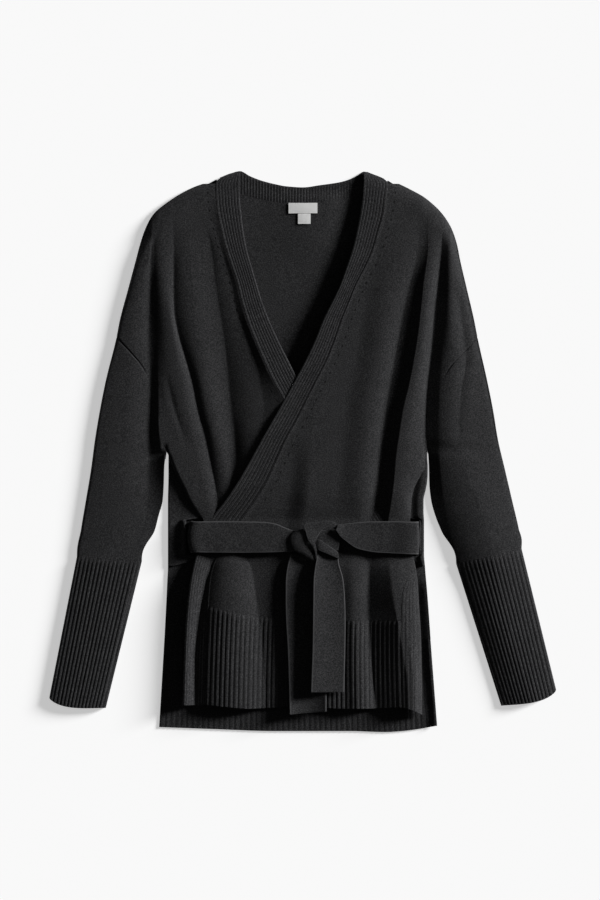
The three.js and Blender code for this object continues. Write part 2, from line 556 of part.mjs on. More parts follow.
// Back hem. Its ribs show on the inside, which faces up, and its underside is flat on the table.
piece('back_hem', ribbedWall(3, RIBS.back, 0.5, (i, f, up) => {
  const s = [0, 0.5, 1][i];
  const L = mix(BODY.foldLeft(639), BODY.foldLeft(726), s);
  const R = mix(BODY.foldRight(639), BODY.foldRight(726), s);
  const c = mix(L, R, f);
  const r = mix(639 + 2 * SEAM, BACK_HEM.bottom(c), s);
  return {
    out: new THREE.Vector3(X(c), Y(r), LAYER1 - 0.5 + up), in: new THREE.Vector3(X(c), Y(r), 0),
  };
}));
// Band round the back of the neck, in two halves that meet at the centre back.
for (const [name, from, to] of [['band_back_left', 0, 6], ['band_back_right', 6, 12]]) {
  const stops = NECK_STOPS.slice(from, to + 1);
  if (from === 0) stops[0] += 4;
  else stops[stops.length - 1] -= 4;
  piece(name, ribbedWall(stops.length, 5, 0.4, (i, f, up) => {
    const middle = stops[i] === CENTRE_BACK ? Math.sign(to - 7) * SEAM : 0;
    const c = stops[i] + middle;
    const r = mix(NECK.edge(c) + 0.3, NECK.seam(c) - SEAM, f);
    return {
      out: new THREE.Vector3(X(c), Y(r), LAYER1 - 0.4 + up), in: new THREE.Vector3(X(c), Y(r), 0),
    };
  }));
}

// Flattened tube of a sleeve or cuff, from the end of its underside round the outer fold and over
// the top. roll is 0 where the inner end is an armhole seam and 1 where it is the underarm fold.
function tubeRow({ side, rowAt, outer, inner, height, roll, across }) {
  const s = side < 0 ? 1 : -1;
  const low = Math.min(FOLD_Z / CELL, Math.abs(outer - inner) * 0.3);
  const under = (c, z, nc, nz) => ({
    out: new THREE.Vector3(X(c), Y(rowAt(c)), z),
    in: new THREE.Vector3(X(c) - s * nc * WALL, Y(rowAt(c)), z - nz * WALL),
  });
  const h = Math.SQRT1_2;
  const ends = [
    under(inner, mix(0, FOLD_Z - GAP / 2, roll), roll, roll - 1),
    under(inner - s * low * 0.3, mix(0, FOLD_Z * (1 - h), roll), h * roll, mix(-1, -h, roll)),
  ];
  const flat = [0, 0.5, 1].map((k) => under(mix(inner - s * low, outer + s * low, k), 0, 0, -1));
  const fold = under(outer + s * low * 0.3, FOLD_Z * (1 - h), -h, -h);
  const upper = across.map(([f, up]) => {
    const c = mix(outer, inner, f);
    return facePoint(height, c, rowAt(c), up, f === 1 && roll < 0.5 ? c + s * SEAM : c);
  });
  return [...ends, ...flat, fold, ...upper];
}
// Height of a tube's upper face: an arch that turns down at the outer fold, and at the underarm
// fold too where roll is 1. Above the armpit it is the garment's own face.
function archHeight(side, outerAt, innerAt, crest, rollAt, field) {
  const s = side < 0 ? 1 : -1;
  return (c, r) => {
    const roll = rollAt(r);
    const out = s * (c - outerAt(r)) * CELL;
    const inn = s * (innerAt(r) - c) * CELL;
    const arch = mix(FOLD_Z, crest(r), quarter(out / SOFT_EDGE) * quarter(inn / 11));
    return Math.max(roll >= 1 ? arch : mix(field(c, r), arch, roll), FOLD_Z + (inn < 0.5 ? GAP / 2 : 0));
  };
}
const ACROSS = [0, 0.02, 0.06, 0.13, 0.24, 0.38, 0.54, 0.68, 0.8, 0.89, 0.95, 0.985, 1]
  .map((f) => [f, 0]);
const CUFF_ACROSS = [[0, 0], [0.012, 0]];
for (let k = 0; k < RIBS.cuff; k += 1) {
  CUFF_ACROSS.push([(k + 0.5) / RIBS.cuff, RIB_HEM], [(k + 1) / RIBS.cuff, 0]);
}
// Ends of each cuff's seam and of its lower edge: outer col, outer row, inner col, inner row.
const CUFFS = {
  left: { seam: [77, 556.3, 142, 561.2], end: [49.5, 697, 106, 707.6] },
  right: { seam: [521.5, 548.5, 456, 563.5], end: [556, 689.5, 501, 705.5] },
};
for (const [key, side] of [['left', -1], ['right', 1]]) {
  const { seam, end } = CUFFS[key];
  const seamRow = (c) => mix(seam[1], seam[3], (c - seam[0]) / (seam[2] - seam[0]));
  const order = (row) => (side < 0 ? row : row.reverse());
  const innerAt = (r) => {
    const corner = SEAM + 1.2 * (1 - ease(338, 350, r)); // clear of the shoulder corner
    return r <= 452 ? ARMHOLE[key](r) + side * corner : INNER[key](r);
  };
  const rollAt = (r) => ease(424, 462, r);
  const height = archHeight(side, OUTLINE[key], innerAt, LEVEL.sleeve, rollAt, side < 0 ? under : over);
  const rows = [340, ...ARM_ROWS, 470, 486, 501, 520, 538];
  const tube = (rowAt, outer, inner, roll) => (
    order(tubeRow({ side, rowAt, outer, inner, height, roll, across: ACROSS })));
  const grid = rows.map((r) => tube(() => r, OUTLINE[key](r), innerAt(r), rollAt(r)));
  grid.push(tube((c) => seamRow(c) - SEAM, seam[0], seam[2], 1));
  piece(`sleeve_${key}`, wall(...split(grid)));

  const cuff = [0, 0.25, 0.5, 0.75, 1].map((v) => {
    const [c0, c1] = [mix(seam[0], end[0], v), mix(seam[2], end[2], v)];
    const rowAt = (c) => {
      const u = (c - c0) / (c1 - c0);
      const bow = 6.2 * Math.sin(Math.PI * clamp(u) ** 0.6);
      return mix(mix(seam[1], seam[3], u) + SEAM, mix(end[1], end[3], u) + bow, v);
    };
    const arch = archHeight(side, () => c0, () => c1, () => mix(7.2, 7, v), () => 1, null);
    return order(tubeRow({
      side, rowAt, outer: c0, inner: c1, height: arch, roll: 1, across: CUFF_ACROSS,
    }));
  });
  piece(`cuff_${key}`, wall(...split(cuff)));
}

// A strap between two edges whose rows are [c, r, z], with a crown across it. Its first row faces up.
function strap(a, b, { crown = 0.5, thick = BELT, across = 4 } = {}) {
  const n = a.length - 1;
  const grid = a.map((p, i) => Array.from({ length: across + 1 }, (_, j) => {
    const u = j / across;
    const [c, r, z] = [0, 1, 2].map((k) => mix(p[k], b[i][k], u));
    return new THREE.Vector3(X(c), Y(r), z + crown * 4 * u * (1 - u));
  }));
  const normal = (i, j) => {
    const along = grid[Math.min(n, i + 1)][j].clone().sub(grid[Math.max(0, i - 1)][j]);
    const wide = grid[i][Math.min(across, j + 1)].clone().sub(grid[i][Math.max(0, j - 1)]);
    return along.cross(wide).normalize();
  };
  const inward = normal(0, 0).z > 0 ? -thick : thick;
  const inner = grid.map((row, i) => row.map((p, j) => p.clone().addScaledVector(normal(i, j), inward)));
  return wall(grid, inner);
}

// Belt: two stretches that turn down through the side slots, and the hidden run inside the back.
const BELT_TOP = 11.6;
const SLOT = { left: 188.4, right: 417.4 };
function belt(side, stretch) {
  const s = side < 0 ? 1 : -1;
  const edge = side < 0 ? SLOT.left : SLOT.right;
  const mid = (BELT_TOP + LAYER2) / 2;
  const rad = (BELT_TOP - LAYER2) / 2;
  const top = side < 0 ? 521 : 521.4;
  const bottom = side < 0 ? 552.4 : 553.8;
  const turn = [0, 1, 2, 3, 4].map((k) => {
    const a = (k * Math.PI) / 4;
    return [edge + (s * rad * (1 - Math.sin(a))) / CELL, mid + rad * Math.cos(a)];
  });
  turn.push([edge + s * 11, LAYER2]);
  const path = [...stretch, ...turn.map(([c, z]) => [c, top, z, c, bottom, z])];
  const a = path.map((p) => [p[0], p[1], p[2]]);
  const b = path.map((p) => [p[3], p[4], p[5]]);
  return strap(a, b, { crown: 0 });
}
// Columns: upper edge c, r, z and lower edge c, r, z, from the knot outwards.
piece('belt_left', belt(-1, [
  [303, 531, 11.6, 303, 550, 11.6], [292, 530, 11.6, 292, 551, 11.6], [275, 523.4, 11.6, 275, 552, 11.6],
  [250, 521.4, 11.6, 250, 552.6, 11.6], [220, 521, 11.6, 220, 552.4, 11.6],
]));
piece('belt_right', belt(1, [
  [337.6, 524.4, 15.4, 335.2, 529.6, 17.6], [344, 524, 13.8, 340, 536, 16.4],
  [352, 523, 12.7, 346.5, 541.5, 15.2], [361, 522, 12, 355, 547.4, 13.7],
  [371, 521.4, 11.7, 369, 551.2, 12.1], [390, 521.2, 11.6, 390, 553, 11.6],
]));
{
  const [c0, c1] = [SLOT.left + 11 + 2 * SEAM, SLOT.right - 11 - 2 * SEAM];
  const z = LAYER2 + WALL;
  piece('belt_back', strap(
    [[c0, 521.2, z], [MID_COL, 521.2, z], [c1, 521.2, z]],
    [[c0, 553, z], [MID_COL, 553, z], [c1, 553, z]],
    { crown: 0, across: 1, thick: WALL },
  ));
}

// Knot, from the core out, then the two free ends. Columns: one edge c, r, z and the other c, r, z.
const strapOf = (rows, look) => strap(rows.map((p) => p.slice(0, 3)), rows.map((p) => p.slice(3)), look);
piece('knot_core', strapOf([
  [298.6, 533, 13.9, 298.6, 548, 13.9], [305, 530, 13.9, 305, 549, 13.9],
  [312, 530.5, 14.2, 312, 550, 14.2],
  [322, 529, 14.2, 322, 550, 14.2], [331, 530, 14.1, 331, 550, 14.1], [339, 538, 13.9, 338, 549, 13.9],
], { crown: 0.3 }));
piece('knot_wrap', strapOf([
  [294, 531.5, 14.4, 303, 528.6, 17.6], [291.6, 537, 14.2, 304.4, 535, 19.6],
  [291.6, 544, 14.2, 305.8, 541, 20], [294.5, 550, 14.4, 307.6, 547, 19.8],
  [301, 553.6, 15, 311, 552.4, 19.4], [307.5, 558.4, 15.4, 314, 557.4, 18.4],
  [311.5, 561, 15.4, 315, 560.6, 16.8],
], { crown: 2 }));
piece('knot_fold', strapOf([
  [337.2, 524.2, 15.6, 334.6, 529.3, 17.8], [332.5, 521.2, 16.8, 330, 527.5, 18.6],
  [326, 520, 17.6, 325, 528.3, 19.6], [316, 521.8, 18.2, 321, 532, 21],
  [304.2, 525, 18.2, 319.5, 536.5, 22.2],
  [306.4, 533, 19.8, 317.5, 540, 22.8], [309.5, 540.5, 21.4, 315.8, 544.4, 22.4],
  [312, 546.5, 21, 315.9, 549.5, 21.6], [314.6, 553, 20, 316.8, 554.5, 20.4],
  [315.9, 560, 18.2, 317.5, 560, 18.2],
], { crown: 0.8 }));
piece('knot_band', strapOf([
  [320.6, 537.5, 20.6, 317.6, 547.6, 20.6], [326, 540, 22, 321.6, 550, 21.8],
  [332, 543.2, 21.6, 329, 553.2, 21.2], [336.8, 547.4, 20, 334, 557, 19.6],
  [339, 551.6, 17.6, 338.4, 559.6, 17.6],
], { crown: 0.8 }));
const tailZ = line([[553.5, 11.8], [560, 12.8], [572, 15.2], [588, 17.1], [600, 17.8], [715, 17.8]]);
piece('belt_tail_left', strapOf([
  [553.8, 291, 324], [562, 288.4, 325], [574, 286.2, 325.5], [590, 285.6, 325.6], [612, 285.8, 325.6],
  [650, 287.8, 325.8], [690, 289.2, 326], [713, 290, 326],
].map(([r, l, e]) => {
  const slant = r > 700 ? 1 : 0; // the end is cut a little askew
  return [l, r + slant, tailZ(r) - 0.2, e, r - 2 * slant, tailZ(r)];
}), { crown: 0.2 }));
piece('belt_tail_right', strapOf([
  [553.2, 317.8, 338], [562, 316, 338.4], [577, 313.8, 342.6], [590, 313.4, 344.2], [605, 313.2, 345],
  [650, 312.5, 345], [675, 311.6, 344.4], [691.5, 311, 344],
].map(([r, l, e]) => [l, r, tailZ(r) + 2.4, e, r, tailZ(r) + 2.4]), { crown: 0.5 }));

// Woven label at the neck and the small tag under it, both plain.
const tag = (from, to, top, bottom) => {
  const z = LAYER2 + 1;
  return strap([[from, top, z], [to, top, z]], [[from, bottom, z], [to, bottom, z]],
    { crown: 0, across: 1, thick: 1 });
};
const WHITE = { color: 0xf4f4f2, roughness: 0.7, metalness: 0 };
piece('neck_label', tag(288.6, 317.4, 203.2, 213.6), WHITE);
piece('size_tag', tag(298, 310.6, 213.9, 224.2), WHITE);

export default new THREE.Group().add(...meshes);
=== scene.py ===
"""Wrap cardigan with its own belt, laid flat: knitted sheets, ribbing, tied belt and the stage."""
import math
from functools import partial

import bmesh
import bpy
import numpy as np
from bpy.props import FloatProperty, FloatVectorProperty, IntProperty, PointerProperty
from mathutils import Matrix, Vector


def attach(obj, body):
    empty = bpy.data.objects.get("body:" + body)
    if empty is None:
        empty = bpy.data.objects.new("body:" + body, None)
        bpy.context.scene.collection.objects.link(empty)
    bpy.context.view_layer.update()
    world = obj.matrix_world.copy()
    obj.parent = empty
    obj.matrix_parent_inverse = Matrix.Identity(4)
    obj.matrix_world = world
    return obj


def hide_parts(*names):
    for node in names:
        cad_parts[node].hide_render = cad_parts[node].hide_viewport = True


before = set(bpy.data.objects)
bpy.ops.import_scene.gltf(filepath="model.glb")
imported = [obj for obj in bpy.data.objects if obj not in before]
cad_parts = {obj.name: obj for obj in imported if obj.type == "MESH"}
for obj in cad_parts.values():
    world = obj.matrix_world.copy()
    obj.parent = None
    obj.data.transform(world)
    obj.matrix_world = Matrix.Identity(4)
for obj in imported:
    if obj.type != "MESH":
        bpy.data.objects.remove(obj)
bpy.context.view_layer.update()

bl_info = {
    "name": "Wrap cardigan",
    "version": (1, 0, 0),
    "blender": (4, 5, 0),
    "location": "3D view > Sidebar > Cardigan",
    "description": "Builds a knitted wrap cardigan laid flat, with its tied belt",
    "category": "Add Mesh",
}

# Chart of the laid garment. A cell is a square of cloth, columns run right and rows run down.
MM = 0.001
CELL_MM = 1.3
CELL = 0.0013
MID_COL, MID_ROW = 302.75, 452.25
# Rows that most pieces share, and the grid stops of a front from its shoulder to its hem seam.
SHOULDER, ARMHOLE_TOP, ARMPIT, BELT_UP, BELT_DOWN, HEM_SEAM = 184, 338, 452, 521, 553, 620
FRONT_STOPS = (SHOULDER, ARMHOLE_TOP, ARMPIT, BELT_UP, BELT_DOWN, HEM_SEAM)
CENTRE_BACK = 303
# Heights in mm over the table: the back's face, the layer on it and the hidden cloth's face.
LAYER1, LAYER2, HIDDEN = 1.8, 2.1, 3.9
# Height in mm where a sleeve's upper face begins at its outer fold.
FOLD_Z = 2.4
# Reach in mm of the rounding at the shoulders and at the top front's side.
SOFT_EDGE, BODY_EDGE = 20.0, 9.0
# Grid rows of the larger pieces.
FRONT_ROWS, UNDER_BAND_ROWS, OVER_BAND_ROWS, BACK_ROWS, SLEEVE_ROWS = 210, 230, 260, 60, 100
RIB_STEPS = 6  # grid columns to a rib
# Thickness in metres of the pieces that aren't the single knit of the fronts and sleeves.
BACK_WALL, TURN_WALL, BACK_HEM_WALL, NECK_WALL, LABEL_WALL = 0.0017, 0.0016, 0.0012, 0.0014, 0.0007


def length(name, about, default, low, high):
    return FloatProperty(name=name, description=about, default=default, min=low, max=high,
                         subtype="DISTANCE", unit="LENGTH")


def number(name, about, default, low, high):
    return IntProperty(name=name, description=about, default=default, min=low, max=high)


def strength(name, about, default, high):
    return FloatProperty(name=name, description=about, default=default, min=0.0, max=high)


def colour(name, about, default):
    return FloatVectorProperty(name=name, description=about, default=default, size=3, min=0.0,
                               max=1.0, subtype="COLOR")


class CardiganSizes(bpy.types.PropertyGroup):
    """Sizes of the cloth and its ribbing."""

    wall: length("Cloth thickness", "Thickness of the single knit", 0.0016, 0.001, 0.003)
    belt: length("Belt thickness", "Thickness of the doubled, pressed belt", 0.0019, 0.001, 0.004)
    rib_band: length("Band rib height", "How far a rib of a band stands out", 0.0004, 0, 0.002)
    rib_hem: length("Hem rib height", "How far a rib of a hem or cuff stands out", 0.0009, 0, 0.002)
    band_ribs: number("Ribs in a band", "Lengthwise ribs across a front band", 8, 3, 20)
    hem_ribs: number("Ribs in the front hem", "Ribs across the hem of the top front", 42, 10, 90)
    cuff_ribs: number("Ribs in a cuff", "Ribs across the upper face of a cuff", 16, 6, 40)
    back_ribs: number("Ribs in the back hem", "Ribs across the hem of the back", 52, 10, 90)


class CardiganColours(bpy.types.PropertyGroup):
    """Colours of the yarn, the label and the stage."""

    yarn: colour("Yarn", "Dark fibres of the heathered yarn", (0.0135, 0.0135, 0.0145))
    fibre: colour("Light fibre", "Light fibres of the heathered yarn", (0.060, 0.060, 0.062))
    label: colour("Label", "Woven label at the neck", (0.86, 0.86, 0.85))
    floor: colour("Floor", "Pale floor that the garment lies on", (0.80, 0.80, 0.80))
    key: strength("Key light", "Strength of the soft light from the upper right", 6.2, 20.0)
    key_height: FloatProperty(
        name="Key height", description="Angle of the key light over the floor",
        default=math.radians(15), min=0.1, max=1.57, subtype="ANGLE", unit="ROTATION")
    fill: strength("Fill light", "Strength of the light from all round", 0.045, 2.0)


def sizes():
    return bpy.context.scene.cardigan_sizes


def colours():
    return bpy.context.scene.cardigan_colours


# Small numbers that work on whole arrays.
def X(c):
    return (c - MID_COL) * CELL


def Y(r):
    return (MID_ROW - r) * CELL


def mix(a, b, t):
    return a + (b - a) * t


def ease(a, b, v):
    t = np.clip((v - a) / (b - a), 0, 1)
    return t * t * (3 - 2 * t)


def quarter(s):
    return np.sqrt(np.clip(1 - (1 - np.clip(s, 0, 1)) ** 2, 0, 1))


def line(at, value):
    """A smooth line through the values that never swings past them."""
    at, value = np.array(at, float), np.array(value, float)
    d = np.diff(value) / np.diff(at)
    m = np.concatenate([d[:1], np.zeros(len(d) - 1), d[-1:]])
    for i in range(1, len(d)):
        if d[i - 1] * d[i] > 0:
            m[i] = 2 * d[i - 1] * d[i] / (d[i - 1] + d[i])
    h = np.diff(at)

    def read(x):
        x = np.clip(np.asarray(x, float), at[0], at[-1])
        i = np.clip(np.searchsorted(at, x, side="left") - 1, 0, len(h) - 1)
        t = (x - at[i]) / h[i]
        return mix(value[i], value[i + 1], t * t * (3 - 2 * t)) \
            + h[i] * t * (1 - t) * (m[i] * (1 - t) - m[i + 1] * t)

    return read


def table_line(values):
    """Smooth line through values given by row."""
    return line(list(values), list(values.values()))


def chart(names, data):
    """Smooth lines by name; each row of data starts with the place and goes on with the values."""
    columns = list(zip(*data))
    return {name: line(columns[0], columns[k + 1]) for k, name in enumerate(names.split()[1:])}


# Outer edges of shoulders, sleeves and cuffs.
OUTLINE = chart("row left right", [
    (171, 240, 364), (174, 229, 372), (178, 218, 383), (182, 209, 394), (186, 197, 403),
    (190, 188, 411), (198, 174, 425), (215, 153, 443), (230, 145, 452), (245, 140, 457),
    (260, 136, 460), (290, 128, 467), (320, 120, 474), (338, 116.5, 477.5), (380, 106, 487),
    (410, 100, 493), (440, 95, 498), (470, 91, 505), (500, 86, 512), (530, 81, 519),
    (560, 77, 524.5), (590, 71, 531), (620, 64, 538), (650, 57, 546), (698, 49, 557)])
# Inner edges of sleeves and cuffs, and the armhole seams above the armpits.
INNER = chart("row left right", [
    (452, 166.5, 428), (466, 164.5, 428.8), (485, 164, 429.3), (500, 163, 431), (515, 159, 435),
    (530, 155, 441), (545, 149, 448), (562, 142, 455), (590, 133, 467), (620, 125, 477),
    (650, 117, 486), (680, 111, 495), (696, 108, 499.5), (708, 105, 501)])
ARMHOLE = chart("row left right", [
    (338, 116.8, 477.2), (343, 121.8, 472.4), (352, 130.2, 464.2), (366, 141.8, 450.8),
    (383, 149.9, 441.3), (404, 153.5, 436), (428, 157.8, 431), (452, 166.5, 427.2)])
# Body edges under the armpits: where each front turns under, and where the back folds forward.
BODY = chart("row under over foldLeft foldRight", [
    (452, 166.8, 426.8, 168.5, 427), (456, 169, 426.8, 168.5, 427),
    (466, 172.5, 426.5, 168.5, 427.6), (474, 176, 422, 168.5, 427.6), (482, 180, 417, 168.4, 427),
    (490, 184, 413.5, 168.2, 425.6), (500, 188.5, 411.5, 168, 423.5), (511, 196, 411, 168, 423.5),
    (521, 204, 410, 168, 424), (537, 198, 411, 168, 424), (553, 198, 413, 168, 424),
    (567, 199, 415.5, 168, 425), (580, 201, 417.5, 167.4, 426), (605, 201, 419, 166.2, 428),
    (638, 201, 421, 164.5, 430.3), (665, 201, 421.6, 163, 432), (690, 201, 422, 161.5, 434.5),
    (710, 201, 422, 160, 436.5), (726, 201, 422, 159.2, 437)])
# Front bands: free edge and seam.
BAND = chart("row overEdge overSeam underEdge underSeam", [
    (171, 364, 364, 239.5, 239.5), (176, 363.8, 379, 239.5, 224), (184, 363.4, 388, 239.5, 215.4),
    (200, 362, 386, 240, 216), (215, 359.5, 384, 241.5, 218), (231, 356.5, 379.5, 243.5, 221.5),
    (250, 352, 374, 247, 226.5), (268, 346, 366, 252, 232.5), (285, 340, 357, 257, 238),
    (300, 333, 351, 261.5, 241.5), (320, 323, 343, 269, 247.5), (342, 314, 335.5, 279, 256),
    (365, 303, 326, 290.5, 266), (378, 296, 319, 297, 272), (398, 285, 309, 308, 283),
    (420, 272.5, 298, 322, 296), (440, 261, 287, 335, 308), (460, 250, 278, 348, 320),
    (480, 238.5, 269, 361, 333), (500, 225, 257, 374, 346), (521, 209, 242, 387, 359),
    (537, 202, 231, 396, 370), (553, 196.5, 221, 402, 378), (565, 193.7, 214.5, 404, 380),
    (580, 190.6, 211, 406, 382), (605, 187.5, 209, 408, 384), (630, 185.6, 207.6, 409, 385),
    (670, 184, 206, 410, 386), (705, 183, 205, 410, 386)])
SLIT = table_line({575: 409, 590: 402.5, 605: 401, 640: 400, 709: 401.5})
FRONT_HEM = chart("col top bottom", [
    (183, 604, 703.5), (204, 605, 704), (225, 610, 706), (250, 615, 708), (285, 618, 706.6),
    (300, 618.8, 706), (345, 620, 708), (370, 620, 708), (400, 620, 706.6), (411, 620, 709),
    (422, 620, 714.5)])
BACK_HEM = chart("col bottom", [
    (159, 727), (213, 729), (275, 731), (350, 731), (385, 732), (402, 731), (418, 729),
    (437, 725.5)])
NECK = chart("col edge seam", [
    (216, 178.9, 180), (228, 174.4, 188), (240, 171, 194), (250, 176, 197.4), (260, 180, 200),
    (275, 184, 202.6), (287, 186.2, 204), (303, 187.2, 204), (320, 185, 202.6), (340, 182, 200.6),
    (350, 179, 199.2), (357, 175.5, 197.6), (364, 171.5, 195), (376, 175.6, 189.5),
    (388, 179.9, 181)])
# Height of the cloth where it is pressed flat and hidden under another layer.
LEVEL = chart("row hidden", [
    (171, HIDDEN), (495, HIDDEN), (507, 4.8), (519, 6), (556, 6), (572, 5), (588, HIDDEN),
    (710, HIDDEN)])
# Where the folded-forward sides of the back end under the fronts, with the notch for the belt.
FLAP = chart("row left right", [
    (456, 176, 418), (470, 181, 411), (486, 188, 406), (501, 195, 405), (511, 200, 405),
    (517.4, 201, 405), (519.4, 186.4, 419.4), (554.6, 186.4, 419.4), (556.6, 195, 413),
    (561, 190, 415), (565.5, 174, 422)])


# Cross-sections of the laid cloth. Each crease or crest runs down the rows, with its column and its
# height in mm, and is followed by the shape of the cloth up to the next one on its right.
SHAPES = {
    "fall": lambda t: t ** 2,
    "rise": lambda t: 1 - (1 - t) ** 2,
    "soft": lambda t: t * t * (3 - 2 * t),
    "wall": lambda t: t,
    "drop": lambda t: t ** 1.4,
    "lift": lambda t: t ** 1.6,
    "bank": lambda t: t ** 2.3,
}


def crest(after, columns, heights):
    at = columns if callable(columns) else table_line(columns)
    return {"at": at, "z": table_line(heights), "after": after}


def across(lines, c, r):
    """Height in mm of a cross-section at chart points."""
    z = lines[0]["z"](r)
    for a, b in zip(lines, lines[1:]):
        ca, cb = a["at"](r), b["at"](r)
        t = np.clip((c - ca) / np.maximum(cb - ca, 0.5), 0, 1)
        z = np.where(c > ca, mix(a["z"](r), b["z"](r), SHAPES[a["after"]](t)), z)
    return z


def arm_crease_left(r):
    return np.where(r < ARMPIT, ARM_LEFT(r), np.minimum(ARM_LEFT(r), INNER["left"](r) - 1.5))


# Creases between arm and body.
ARM_LEFT = table_line({171: 150, 245: 151, 285: 150.5, 335: 149.5, 385: 150.5, 435: 150.5, 470: 149,
                       500: 148, 540: 142, 708: 100})
ARM_RIGHT = table_line({171: 444, 245: 441.5, 285: 438, 310: 435, 335: 433, 360: 430.5, 385: 427.5,
                        410: 426, 435: 425.5, 452: 427.2, 708: 427.2})
SLEEVE_LEFT = [
    crest("rise", OUTLINE["left"],
          {184: 5, 245: 6, 335: 6.6, 452: 6.4, 560: 5.6, 708: 5.4}),
    crest("fall", {184: 186, 230: 160, 285: 140, 335: 133, 410: 126, 460: 122, 500: 118, 560: 110,
                   620: 102, 708: 80},
          {184: 8.5, 230: 10.2, 285: 9.6, 335: 9.2, 452: 9.2, 500: 8.8, 560: 7.8, 708: 7.2}),
    crest("lift", arm_crease_left,
          {184: 8.6, 230: 10, 262: 8.2, 285: 6.2, 335: 4.4, 435: 4, 470: 4.6, 500: 6, 530: 6.6,
           560: 6.8, 708: 6.2}),
    crest("wall", lambda r: np.where(r < ARMPIT, 161, INNER["left"](r)),
          {184: 8.6, 335: 8.6, 385: 9.4, 452: 10.4, 480: 10, 500: 9, 520: 7, 545: 5.4, 708: 4.6}),
]
BODY_LEFT = [
    crest("lift", ARM_LEFT,
          {184: 8.6, 230: 10, 262: 8.2, 285: 6.2, 335: 4.4, 435: 4, 500: 5}),
    crest("rise", {184: 155, 285: 155, 335: 157, 435: 159, 519: 162},
          {184: 8.6, 230: 10, 262: 9, 285: 8, 335: 7.2, 385: 7.8, 435: 9.6, 519: 6.4}),
    crest("fall", {184: 163, 285: 164, 310: 169, 335: 173, 360: 177, 385: 182, 410: 186, 435: 191,
                   460: 197, 480: 202, 519: 210},
          {184: 8.6, 230: 10.6, 285: 11, 335: 11.6, 385: 11.8, 435: 10.6, 460: 10, 480: 9.6, 500: 9,
           512: 7.6, 519: 6.4}),
    crest("rise", {184: 174, 285: 174, 310: 174.5, 335: 179, 360: 186.5, 385: 193.5, 410: 198.5,
                   435: 205.5, 460: 210.5, 480: 214.5, 500: 218, 519: 222.5},
          {184: 8.6, 225: 10, 245: 9, 285: 7, 335: 6, 385: 5.6, 435: 5.4, 480: 4.8, 519: 4.4}),
    crest("soft", {184: 188, 260: 188, 285: 191, 310: 193.5, 335: 197, 360: 201, 385: 205, 410: 210,
                   435: 216, 460: 222, 480: 226, 519: 232},
          {184: 8.6, 230: 10.4, 285: 10.8, 335: 10.6, 385: 10.2, 435: 9.4, 480: 7.6, 519: 6}),
    crest("rise", {184: 198, 215: 203, 245: 211, 285: 216, 310: 220, 335: 224, 360: 227, 385: 229.5,
                   410: 232, 435: 235, 460: 237, 519: 240},
          {184: 8.8, 225: 10, 245: 9, 285: 7.6, 310: 7, 335: 6.2, 360: 5, 385: 4.2, 410: 3.9,
           519: 3.9}),
    crest("wall", {184: 205, 215: 211, 245: 220, 285: 232, 310: 237, 335: 247, 360: 256, 385: 261,
                   410: 264, 435: 260, 460: 257, 519: 258},
          {184: 8.9, 245: 10.4, 285: 9.8, 310: 9.6, 335: 9.8, 360: 10, 385: 10.2, 410: 10.4,
           519: 11}),
    crest("wall", lambda r: BAND["underSeam"](r) - 2,
          {184: 9, 245: 11.2, 285: 11.2, 310: 11.6, 335: 12.4, 360: 13.2, 385: 14, 410: 14.6,
           519: 14.6}),
]
SLEEVE_RIGHT = [
    crest("wall", lambda r: np.where(r < ARMPIT, ARM_RIGHT(r), INNER["right"](r)),
          {184: 8.6, 225: 12.4, 245: 10, 285: 7.4, 335: 6, 385: 5.4, 435: 5, 480: 2.8, 560: 2.8,
           708: 2.6}),
    crest("rise", {184: 448, 245: 446.5, 285: 446, 310: 445, 335: 443.5, 360: 441.5, 385: 439.5,
                   410: 438.5, 435: 438, 460: 439, 500: 443.5, 540: 452, 580: 466, 708: 506},
          {184: 8.6, 225: 12.4, 245: 11.8, 285: 11.6, 335: 11.4, 410: 11, 470: 9.4, 500: 8.2,
           540: 6, 580: 4.4, 708: 3.4}),
    crest("drop", {184: 450, 245: 450, 285: 451, 335: 451.5, 360: 454, 385: 452, 435: 453, 460: 463,
                   480: 469, 500: 477, 540: 487, 580: 497, 620: 503, 660: 517, 690: 529, 708: 533},
          {184: 8.6, 245: 12.6, 285: 13.2, 335: 13.6, 410: 13.2, 500: 13.6, 540: 12.6, 580: 9.8,
           620: 8.6, 708: 7.4}),
    crest("wall", OUTLINE["right"],
          {184: 5, 245: 5.4, 335: 4, 452: 4, 560: 3.4, 708: 3.2}),
]
